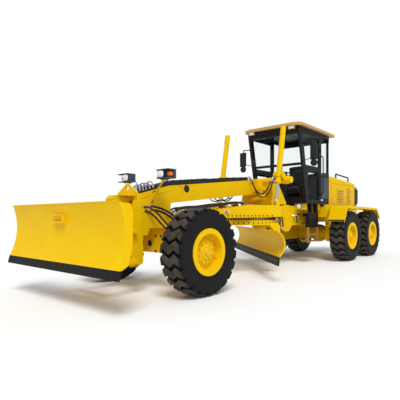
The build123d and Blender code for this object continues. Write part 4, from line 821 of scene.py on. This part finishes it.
def makeDozer():
    bm = bmesh.new()
    x, y, z = dozer["tab"]
    for plateZ in dozer["tabPlates"]:
        boxInto(bm, (-0.02, -0.14, -0.012), (0.055, 0.14, 0.012), 0.004, place(x, y, plateZ))
    boxInto(bm, (-0.02, -0.01, -0.06), (0.055, 0.012, 0.06), 0.004, place(x, y + 0.13, z))
    addPiece("faceTab", bm, "yellowPaint", "dozer_blade")
    bm = bmesh.new()
    for i in range(dozer["edgeBolts"]):
        y = dozer["edgeBoltHalf"] * (2 * i / (dozer["edgeBolts"] - 1) - 1)
        for z in dozer["edgeBoltZ"]:
            spot = place(valueAt(z, dozer["edge"]) + 0.0005, y, z)
            ringInto(bm, spot, (1, 0, 0.25), [(0, 0.012), (0.004, 0.010)], 12)
    addPiece("dozerEdgeBolts", bm, "edgeSteel", "dozer_blade")
    bm = bmesh.new()
    for side in (1, -1):
        for radius, spot in dozer["pins"]:
            rings = ((0, radius), (0.012, radius), (0.018, radius * 0.85))
            ringInto(bm, *run((spot,), side), (0, side, 0), rings, 24)
    addPiece("dozerPinCaps", bm, "yellowPaint", "dozer_blade")
    hose("dozerTopBead", run(dozer["bead"]), 0.006, "yellowPaint", "dozer_blade")


makeDozer()
print("dozer blade dressed")


windscreen = ((1.475, -0.657), (3.225, -0.295))  # the glass's slope, as (height, X)
wiper = {"radius": 0.006, "arm": ((3.05, 0.18, 0.012), (2.9, 0.16, 0.026), (2.72, 0.13, 0.024)),
         "bladeY": 0.125, "bladeZ": (2.55, 2.65, 2.75, 2.85, 2.95), "bladeBehind": 0.046}
grabRail = {"radius": 0.013, "x": -1.44, "course": ((0.712, 1.72), (0.755, 1.72), (0.765, 1.80), (0.765, 2.20),
                                                  (0.765, 2.58), (0.755, 2.66), (0.712, 2.66))}
# Each mirror's side and height, half width and half height, how round it is, and its back's size and depth.
mirrors = {
    "behind": 0.09, "screenZ": 2.70, "stayRadius": 0.008,
    "glasses": (((0.9875, 2.625), (0.08, 0.165), 0.003, 6.0), ((0.985, 2.38), (0.07, 0.07), 0.006, 2.0)),
    "backs": (((0.034, 0.9875, 2.625), (0.088, 0.175), 0.01, 0.022, 5.0),
              ((0.029, 0.985, 2.38), (0.08, 0.08), 0.004, 0.02, 2.0)),
}
cabSide = {
    "lock": (-1.215, 0.7085, 2.215), "lockRings": ((0, 0.014), (0.008, 0.014), (0.01, 0.01)),
    "panelBolts": ((-1.86, 0.7098, 1.60), (-1.86, 0.7098, 2.15), (-1.42, 0.7098, 1.60), (-1.42, 0.7098, 2.10)),
    "panel": ((-1.845, 0.7102, 1.62), (-1.46, 0.7125, 2.14)), "label": (-1.49, 0.7102, 1.575),
}
# Blank plates on the frame: place, width and height, finish.
framePlates = {
    "RedPlate": ((-0.90, 0.3812, 1.22), (0.16, 0.05), "labelRed"),
    "WhitePlate": ((-1.212, 0.3812, 1.33), (0.07, 0.07), "labelWhite"),
}


def makeWiper():
    arm = [place(valueAt(z, windscreen) + out, y, z) for z, y, out in wiper["arm"]]
    hose("wiperArm", arm, wiper["radius"], "darkTrim", "rear_frame")
    bm = bmesh.new()
    for z in wiper["bladeZ"]:
        spot = place(valueAt(z, windscreen) - wiper["bladeBehind"], wiper["bladeY"], z)
        boxInto(bm, (0.0, -0.006, -0.052), (0.022, 0.006, 0.052), 0.003, spot)
    addPiece("wiperBlade", bm, "darkTrim", "rear_frame")


def makeMirrors(label, side):
    x = valueAt(mirrors["screenZ"], windscreen) - mirrors["behind"]
    bm = bmesh.new()
    for (y, z), half, bulge, power in mirrors["glasses"]:  # the glasses look back past the cab
        lensInto(bm, place(x - 0.001, side * y, z), *half, 0.002, bulge, (-1, 0, 0), power)
    addPiece("mirrorGlass" + label, bm, "mirrorFace", "rear_frame", smooth=True)
    bm = bmesh.new()
    for (ahead, y, z), half, depth, bulge, power in mirrors["backs"]:
        lensInto(bm, place(x + ahead, side * y, z), *half, depth, bulge, (1, 0, 0), power)
    addPiece("mirrorBack" + label, bm, "darkTrim", "rear_frame", "black_paint", True)
    stay = run(((valueAt(2.45, windscreen) - 0.03, 0.70, 2.45), (x + 0.02, 0.85, 2.46), (x + 0.01, 0.96, 2.52)), side)
    hose("mirrorStay" + label, stay, mirrors["stayRadius"], "darkTrim", "rear_frame")


def makeCabSide(label, side):
    rail = run([(grabRail["x"], y, z) for y, z in grabRail["course"]], side)
    hose("grabRail" + label, rail, grabRail["radius"], "darkTrim", "rear_frame")
    makeMirrors(label, side)
    bm = bmesh.new()
    spot, labelSpot = run((cabSide["lock"], cabSide["label"]), side)
    boxInto(bm, (-0.045, -0.002, -0.055), (0.045, 0.002, 0.055), 0.0015, spot)
    ringInto(bm, spot + Vector((0.0, side * 0.002, -0.085)), (0, side, 0), cabSide["lockRings"], 16)
    addPiece("doorLock" + label, bm, "darkTrim", "door_" + label.lower())
    bm = bmesh.new()
    for spot in run(cabSide["panelBolts"], side):
        boltInto(bm, spot, (0, side, 0), 0.009, 0.009)
    boxInto(bm, *run(cabSide["panel"], side), 0.001)
    addPiece("sidePanel" + label, bm, "panelGrey", "rear_frame")
    bm = bmesh.new()
    boxInto(bm, (-0.055, -0.001, -0.02), (0.055, 0.001, 0.02), at=labelSpot)
    addPiece("blankLabel" + label, bm, "labelWhite", "rear_frame")
    for what, ((x, y, z), (wide, high), finish) in framePlates.items():
        bm = bmesh.new()
        half = Vector((wide / 2, 0.0012, high / 2))
        boxInto(bm, -half, half, at=place(x, side * y, z))
        addPiece("frame" + what + label, bm, finish, "rear_frame")


# Crowned cushion with sewn grooves across it; tilt turns it to its place.
def cushionInto(bm, centre, size, tilt, channels):
    steps, crown = 14, seat["crown"]
    grid = {}
    for face in (1, -1):
        for i in range(steps + 1):
            for j in range(steps + 1):
                u, v = i / steps * 2 - 1, j / steps * 2 - 1
                pull = 1 - 0.06 * (u * u) * (v * v)
                edge = (1 - u ** 6) * (1 - v ** 6)
                height = size[2] / 2 * (0.42 + 0.58 * edge ** 0.5)
                if face > 0:
                    groove = 0.010 * sum(math.exp(-((u - c) / 0.05) ** 2) for c in channels) * edge
                    height += crown * (1 - u * u) * (1 - v * v) - groove
                spot = Vector((u * size[0] / 2 * pull, v * size[1] / 2 * pull, face * height))
                grid[face, i, j] = bm.verts.new(centre + tilt @ spot)
    for face in (1, -1):
        for i in range(steps):
            for j in range(steps):
                bm.faces.new([grid[face, a, b] for a, b in ((i, j), (i + 1, j), (i + 1, j + 1), (i, j + 1))])
    for i in range(steps):
        for a, b in (((i, 0), (i + 1, 0)), ((i, steps), (i + 1, steps)),
                     ((0, i), (0, i + 1)), ((steps, i), (steps, i + 1))):
            bm.faces.new((grid[1, *a], grid[1, *b], grid[-1, *b], grid[-1, *a]))


seat = {
    # place, size, lean in degrees and the grooves' places across each cushion
    "cushions": {
        "seatCushion": ((-1.365, 0, 1.862), (0.50, 0.53, 0.10), 0, (-0.45, 0.0, 0.45)),
        "seatBack": ((-1.595, 0, 2.175), (0.62, 0.49, 0.10), -77, (-0.5, 0.0, 0.5)),
    },
    "crown": 0.022, "fill": 0.75,
    "levers": 5, "leverFoot": (-1.13, 0.335, 1.92), "leverGap": 0.05,
    "lever": ((0, 0.012), (0.012, 0.005), (0.08, 0.005), (0.085, 0.011), (0.105, 0.014), (0.12, 0.008)),
    "armPad": (-1.33, 0.345, 1.945),
}


def makeSeat():
    for name, (spot, size, lean, channels) in seat["cushions"].items():
        bm = bmesh.new()
        cushionInto(bm, place(*spot), size, Matrix.Rotation(math.radians(lean), 3, "Y"), channels)
        piece = addPiece(name, bm, "seatFabric", "rear_frame", smooth=True)
    bm = bmesh.new()
    for side in (1, -1):
        foot, pad = run((seat["leverFoot"], seat["armPad"]), side)
        for i in range(seat["levers"]):
            ringInto(bm, foot - Vector((i * seat["leverGap"], 0, 0)), (0.01, 0, 0.10), seat["lever"], 12)
        boxInto(bm, (-0.13, -0.045, -0.025), (0.08, 0.045, 0.02), 0.015, pad)
    addPiece("leversAndArmPads", bm, "darkTrim", "rear_frame")


makeWiper()
for label, side in sides:
    makeCabSide(label, side)
makeSeat()
print("cab dressed")


hood = {
    "top": ((-1.96, 2.290), (-4.13, 2.177)),
    "panels": ((-3.255, -2.815, 1.55, 1.91), (-3.765, -3.525, 1.55, 1.99)),  # rear, front, low, high
    "face": 0.5492, "frameWidth": 0.02, "frameDepth": 0.006, "finGap": 0.03,
    "fin": ((-0.008, 0.012), (0.005, -0.010), (0.005, -0.007), (-0.008, 0.015)),
    "latches": ((-4.02, 0.549, 1.62), (-4.02, 0.549, 1.95), (-3.40, 0.549, 1.78), (-2.62, 0.549, 1.62)),
    "latch": ((0, 0.026), (0.006, 0.026), (0.009, 0.022), (0.009, 0.010), (0.014, 0.009)),
    "sillBolts": 9, "sillBolt": (-2.05, 0.549, 1.475), "sillBoltGap": 0.25,
    "seam": ((-2.40, 0.5505, 2.10), (-2.9, 0.5505, 2.10), (-3.6, 0.5505, 2.10), (-4.08, 0.5505, 2.10)),
    "capSpot": (-3.62, 0.0, 2.205),
    "cap": ((-0.01, 0.055), (0.012, 0.055), (0.02, 0.062), (0.034, 0.06), (0.038, 0.05)),
    "railX": (-3.07, -3.99), "railY": 0.40, "railHeight": 0.15, "railRadius": 0.0215, "railDip": 0.0074,
}


def makeHood():
    width, out, face = hood["frameWidth"], hood["frameDepth"], hood["face"]
    for label, side in (("left", 1), ("right", -1)):
        body = "hatch_" + label
        bm = bmesh.new()
        fins = bmesh.new()
        for x1, x2, z1, z2 in hood["panels"]:
            for low, high in (((x1 - width, z1 - width), (x2 + width, z1)),
                              ((x1 - width, z2), (x2 + width, z2 + width)),
                              ((x1 - width, z1), (x1, z2)), ((x2, z1), (x2 + width, z2))):
                corners = run(((low[0], face, low[1]), (high[0], face + out, high[1])), side)
                boxInto(bm, *corners, 0.0015)
            count = int((z2 - z1) / hood["finGap"])
            for i in range(count):
                z = z1 + (i + 0.5) * (z2 - z1) / count
                loftInto(fins, [run([(x, face + y, z + rise) for y, rise in hood["fin"]], side) for x in (x1, x2)])
        addPiece("louvreFrames_" + label, bm, "yellowPaint", body)
        addPiece("louvreFins_" + label, fins, "meshTan", body)
        bm = bmesh.new()
        for spot in run(hood["latches"], side):
            ringInto(bm, spot, (0, side, 0), hood["latch"], 24)
        addPiece("hatchLatches_" + label, bm, "boltBright", body)
        bm = bmesh.new()
        x, y, z = hood["sillBolt"]
        for i in range(hood["sillBolts"]):
            boltInto(bm, place(x - i * hood["sillBoltGap"], side * y, z), (0, side, 0), 0.008, 0.008)
        addPiece("sillBolts_" + label, bm, "yellowPaint", "rear_frame")
        hose("hoodSeam_" + label, run(hood["seam"], side), 0.004, "yellowPaint", "rear_frame")


guard = {
    "bars": 17, "barFrom": 1.60, "barGap": 0.022, "barThick": 0.009, "half": 0.30,
    "posts": (-0.30, -0.1, 0.1, 0.30), "postZ": (1.58, 1.985),
    "slats": 10, "slatX": (-4.50, -4.22), "slatY": (0.4495, 0.4565), "slatFrom": 1.60, "slatGap": 0.04,
    "grip": ((-4.30, 0.45, 2.04), (-4.30, 0.478, 2.05), (-4.36, 0.482, 2.05), (-4.48, 0.482, 2.05),
             (-4.53, 0.478, 2.05), (-4.53, 0.45, 2.04)),
}


def makeGuard():
    bm = bmesh.new()
    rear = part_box("radiator_guard")[0].x
    half, (low, high) = guard["half"], guard["postZ"]
    for i in range(guard["bars"]):
        z = guard["barFrom"] + i * guard["barGap"]
        boxInto(bm, place(rear - 0.008, -half, z), place(rear + 0.002, half, z + guard["barThick"]), 0.002)
    for y in guard["posts"]:
        boxInto(bm, place(rear - 0.012, y - 0.01, low), place(rear + 0.002, y + 0.01, high), 0.002)
    addPiece("rearGrille", bm, "darkTrim", "rear_frame")
    for label, side in sides:
        bm = bmesh.new()
        for i in range(guard["slats"]):
            z = guard["slatFrom"] + i * guard["slatGap"]
            rearX, frontX = guard["slatX"]
            inner, outer = guard["slatY"]
            boxInto(bm, *run(((rearX, inner, z), (frontX, outer, z + 0.02)), side), 0.003)
        addPiece("guardSlats" + label, bm, "darkTrim", "rear_frame")
        hose("guardGrip" + label, run(guard["grip"], side), 0.011, "yellowPaint", "rear_frame")
    bm = bmesh.new()
    ringInto(bm, place(*hood["capSpot"]), (0, 0, 1), hood["cap"], 28)
    addPiece("coolantCap", bm, "darkTrim", "rear_frame", smooth=True)
    for label, side in sides:
        x1, x2 = hood["railX"]
        z1, z2 = valueAt(x1, hood["top"]), valueAt(x2, hood["top"])
        rise, dip = hood["railHeight"], hood["railDip"]
        course = ((x1, z1 + 0.004), (x1, z1 + 0.09), (x1, z1 + rise), (x1 - 0.06, z1 + rise - dip),
                  ((x1 + x2) / 2, (z1 + z2) / 2 + rise), (x2 + 0.06, z2 + rise + dip), (x2, z2 + rise),
                  (x2, z2 + 0.09), (x2, z2 + 0.004))
        rail = run([(x, hood["railY"], z) for x, z in course], side)
        hose("handrailSleeve" + label, rail, hood["railRadius"], "darkTrim", "rear_frame")


fender = {
    "y": (0.87, 1.30), "foot": (-1.470, 0, 1.060), "slope": (-0.19, 0, 0.335), "out": (0.335, 0, 0.19),
    "edge": ((-0.004, 0.004), (0.03, 0.004), (0.03, -0.018), (-0.004, -0.018)),  # along the slope, and out of it
    "bolts": ((-2.29, 1.418), (-2.86, 1.411), (-3.80, 1.401)), "boltY": (0.88, 0.915),
}


def makeFenders():
    foot = place(*fender["foot"])
    slope, out = Vector(fender["slope"]).normalized(), Vector(fender["out"]).normalized()
    for label, side in (("left", 1), ("right", -1)):
        bm = bmesh.new()
        loftInto(bm, [[foot + slope * along + out * off + Vector((0, side * y, 0)) for along, off in fender["edge"]]
                      for y in fender["y"]])
        addPiece("fenderEdge_" + label, bm, "darkTrim", "rear_frame")
        bm = bmesh.new()
        for x, top in fender["bolts"]:
            for y in fender["boltY"]:
                boltInto(bm, place(x, side * y, top), (0, 0, 1), 0.010, 0.010)
        addPiece("fenderBolts_" + label, bm, "boltSteel", "rear_frame")


steps = {
    "treads": (0.585, 0.75, 1.25), "treadY": (0.61, 0.68), "teeth": 13, "toothHeight": 0.008,
    "from": -1.30, "length": 0.465,
    "boxBolts": ((-1.3075, 0.69, 0.60), (-0.8275, 0.69, 0.60), (-1.3075, 0.69, 0.85), (-0.8275, 0.69, 0.85)),
    "cover": ((-1.29, 0.6895, 0.95), (-0.845, 0.6935, 1.21)),
    "coverBolts": ((-1.27, 0.6935, 0.97), (-1.27, 0.6935, 1.19), (-0.865, 0.6935, 0.97), (-0.865, 0.6935, 1.19)),
}
battery = {
    "case": ((-2.203, 0.382, 1.147), (-1.577, 0.783, 1.4135)), "lid": ((-2.14, 0.7825, 1.19), (-1.64, 0.787, 1.37)),
    "knobSpot": (-1.89, 0.784, 1.33), "knob": ((0, 0.02), (0.008, 0.02), (0.01, 0.015)),
}
frameHose = {"radius": 0.014, "course": ((-0.60, 0.412, 1.19), (-0.63, 0.44, 1.20), (-0.69, 0.45, 1.13),
                                         (-0.64, 0.455, 1.08), (-0.70, 0.45, 1.02), (-0.78, 0.42, 1.02),
                                         (-0.80, 0.384, 1.04))}
hitchPlate = {"ribs": (-0.40, -0.27, -0.14), "ribY": (0.409, 0.425), "ribZ": (0.90, 1.36),
              "boltX": (-0.335, -0.205), "boltZ": (0.92, 1.13, 1.34)}


def makeSteps():
    bm = bmesh.new()
    for side in (1, -1):
        for z in steps["treads"]:
            for y in steps["treadY"]:
                for i in range(steps["teeth"]):
                    x = steps["from"] + i * steps["length"] / (steps["teeth"] - 1)
                    spot = place(x, side * y, z - 0.001)
                    boxInto(bm, (-0.011, -0.003, 0), (0.011, 0.003, steps["toothHeight"]), 0.001, spot)
    addPiece("treadGrip", bm, "boltSteel", "rear_frame")
    bm = bmesh.new()
    for side in (1, -1):
        for spot in run(steps["boxBolts"], side):
            boltInto(bm, spot, (0, side, 0), 0.008, 0.008)
        boxInto(bm, *run(steps["cover"], side), 0.002)
        for spot in run(steps["coverBolts"], side):
            boltInto(bm, spot, (0, side, 0), 0.007, 0.007)
    addPiece("stepBoxCover", bm, "blackPaint", "rear_frame")
    bm = bmesh.new()
    for side in (1, -1):
        boxInto(bm, *run(battery["case"], side), 0.008)
        boxInto(bm, *run(battery["lid"], side), 0.002)
        ringInto(bm, *run((battery["knobSpot"],), side), (0, side, 0), battery["knob"], 20)
    addPiece("batteryCasing", bm, "yellowPaint", "rear_frame")
    for label, side in sides:
        hose("frameHose" + label, run(frameHose["course"], side), frameHose["radius"], "rubberHose", "rear_frame",
             collar=True)
        bm = bmesh.new()
        (inner, outer), (low, high) = hitchPlate["ribY"], hitchPlate["ribZ"]
        for x in hitchPlate["ribs"]:
            boxInto(bm, *run(((x - 0.008, inner, low), (x + 0.008, outer, high)), side), 0.003)
        for z in hitchPlate["boltZ"]:
            for x in hitchPlate["boltX"]:
                boltInto(bm, place(x, side * (inner + 0.0005), z), (0, side, 0), 0.012, 0.012)
        addPiece("hitchPlateRibs" + label, bm, "yellowPaint", "rear_frame")


makeHood()
makeGuard()
makeFenders()
makeSteps()
print("hood, fenders and steps dressed")


lift = {
    "top": (0.450, 0.745, 3.05), "centre": (0.640, 0.745, 2.03), "low": (0.7443, 0.745, 1.47),
    "cap": ((0, 0.056), (0.004, 0.06), (0.0035, 0.046)),
    "glandAt": 0.30, "gland": ((-0.03, 0.068), (0.0, 0.068), (0.004, 0.06), (0.012, 0.045)), "portAt": 0.86,
}
axle = {"bolts": {88: 0.88, 64: 0.64}, "boltX": 3.475, "boltY": (0.36, 0.24), "holeShadeSpot": (3.476, 0.10, 0.76),
        "hole": ((-0.004, 0.05), (0.003, 0.05), (0.003, 0.04))}


def makeCylinders():
    for label, side in (("left", 1), ("right", -1)):
        top, centre, low = run((lift["top"], lift["centre"], lift["low"]), side)
        up = (top - centre).normalized()
        bm = bmesh.new()
        ringInto(bm, top - up * 0.004, up, lift["cap"], 28)
        ringInto(bm, centre.lerp(low, lift["glandAt"]), low - centre, lift["gland"], 28)
        port = centre.lerp(top, lift["portAt"]) + Vector((0.054, 0, 0))
        boxInto(bm, (-0.01, -0.02, -0.02), (0.02, 0.02, 0.02), 0.004, port)
        addPiece("liftCylinderCaps_" + label, bm, "yellowPaint", "lift_barrel_" + label)


def makeAxle():
    for number, z in axle["bolts"].items():
        for label, side in sides:
            bm = bmesh.new()
            for y in axle["boltY"]:
                boltInto(bm, place(axle["boltX"], side * y, z), (1, 0, 0), 0.016, 0.016)
            addPiece("axleBolts%d%s" % (number, label), bm, "rustSteel", "front_frame")
    # a dark disc on each side of the axle face is the painted shade inside the hole
    for label, side in sides:
        bm = bmesh.new()
        ringInto(bm, *run((axle["holeShadeSpot"],), side), (1, 0, 0), axle["hole"], 24)
        addPiece("axleHoleShade" + label, bm, "darkTrim", "front_frame")


makeCylinders()
makeAxle()
print("cylinders and axle dressed")


studio = {
    "floorHalf": 60.0, "floorColor": (0.9, 0.9, 0.9, 1), "floorRoughness": 0.9,
    "sunStrength": 2.2, "sunAngle": 25.0, "sunFrom": (0.45, 0.55, 1.0),
    "skyColor": (0.94, 0.97, 1.0, 1), "skyStrength": 0.62,
}


def makeStudio():
    mesh = bpy.data.meshes.new("studioFloor")
    half = studio["floorHalf"]
    mesh.from_pydata([(-half, -half, 0), (half, -half, 0), (half, half, 0), (-half, half, 0)], [], [(0, 1, 2, 3)])
    floor = bpy.data.objects.new("studioFloor", mesh)
    bpy.context.scene.collection.objects.link(floor)
    made, tree, shader = newMaterial("studioFloor")
    shader.inputs["Base Color"].default_value = studio["floorColor"]
    shader.inputs["Roughness"].default_value = studio["floorRoughness"]
    mesh.materials.append(made)
    world = bpy.data.worlds.new("softSky")
    bpy.context.scene.world = world
    world.use_nodes = True
    tree = world.node_tree
    sky = tree.nodes["Background"]
    sky.inputs["Color"].default_value = studio["skyColor"]
    sky.inputs["Strength"].default_value = studio["skyStrength"]
    white = addNode(tree, "ShaderNodeBackground", {"Color": (1, 1, 1, 1), "Strength": 1.0})
    rays = addNode(tree, "ShaderNodeLightPath").outputs
    # the camera, and what is seen through glass, meets plain white behind the floor
    seen = addNode(tree, "ShaderNodeMath", {0: rays["Is Camera Ray"], 1: rays["Is Transmission Ray"]},
                   operation="MAXIMUM")
    mix = addNode(tree, "ShaderNodeMixShader", {"Fac": seen.outputs[0], 1: sky.outputs[0], 2: white.outputs[0]})
    tree.links.new(mix.outputs[0], tree.nodes["World Output"].inputs["Surface"])
    lamp = bpy.data.lights.new("softSun", "SUN")
    lamp.energy = studio["sunStrength"]
    lamp.angle = math.radians(studio["sunAngle"])
    sun = bpy.data.objects.new("softSun", lamp)
    sun.rotation_euler = Vector(studio["sunFrom"]).to_track_quat("Z", "Y").to_euler()
    bpy.context.scene.collection.objects.link(sun)


# Angles in degrees, lens in millimetres on a 36 mm sensor.
cameraPlace = {
    "location": (7.338, 4.691, 1.140), "heading": 38.948, "pitch": -1.138, "roll": -0.19, "lens": 33.92,
    "shift": (-0.068, 0.059),
}


def makeCamera():
    data = bpy.data.cameras.new("mainCamera")
    data.sensor_width = 36.0
    data.lens = cameraPlace["lens"]
    data.shift_x, data.shift_y = cameraPlace["shift"]
    data.clip_end = 200
    camera = bpy.data.objects.new("mainCamera", data)
    heading, pitch = math.radians(cameraPlace["heading"]), math.radians(cameraPlace["pitch"])
    look = Vector((-math.cos(heading), -math.sin(heading), math.tan(pitch)))
    turned = look.to_track_quat("-Z", "Y").to_matrix().to_4x4()
    roll = Matrix.Rotation(math.radians(cameraPlace["roll"]), 4, "Z")
    camera.matrix_world = Matrix.Translation(cameraPlace["location"]) @ turned @ roll
    bpy.context.scene.collection.objects.link(camera)
    bpy.context.scene.camera = camera


makeStudio()
makeCamera()
bpy.context.scene.view_settings.view_transform = "Standard"
print("studio and camera made")
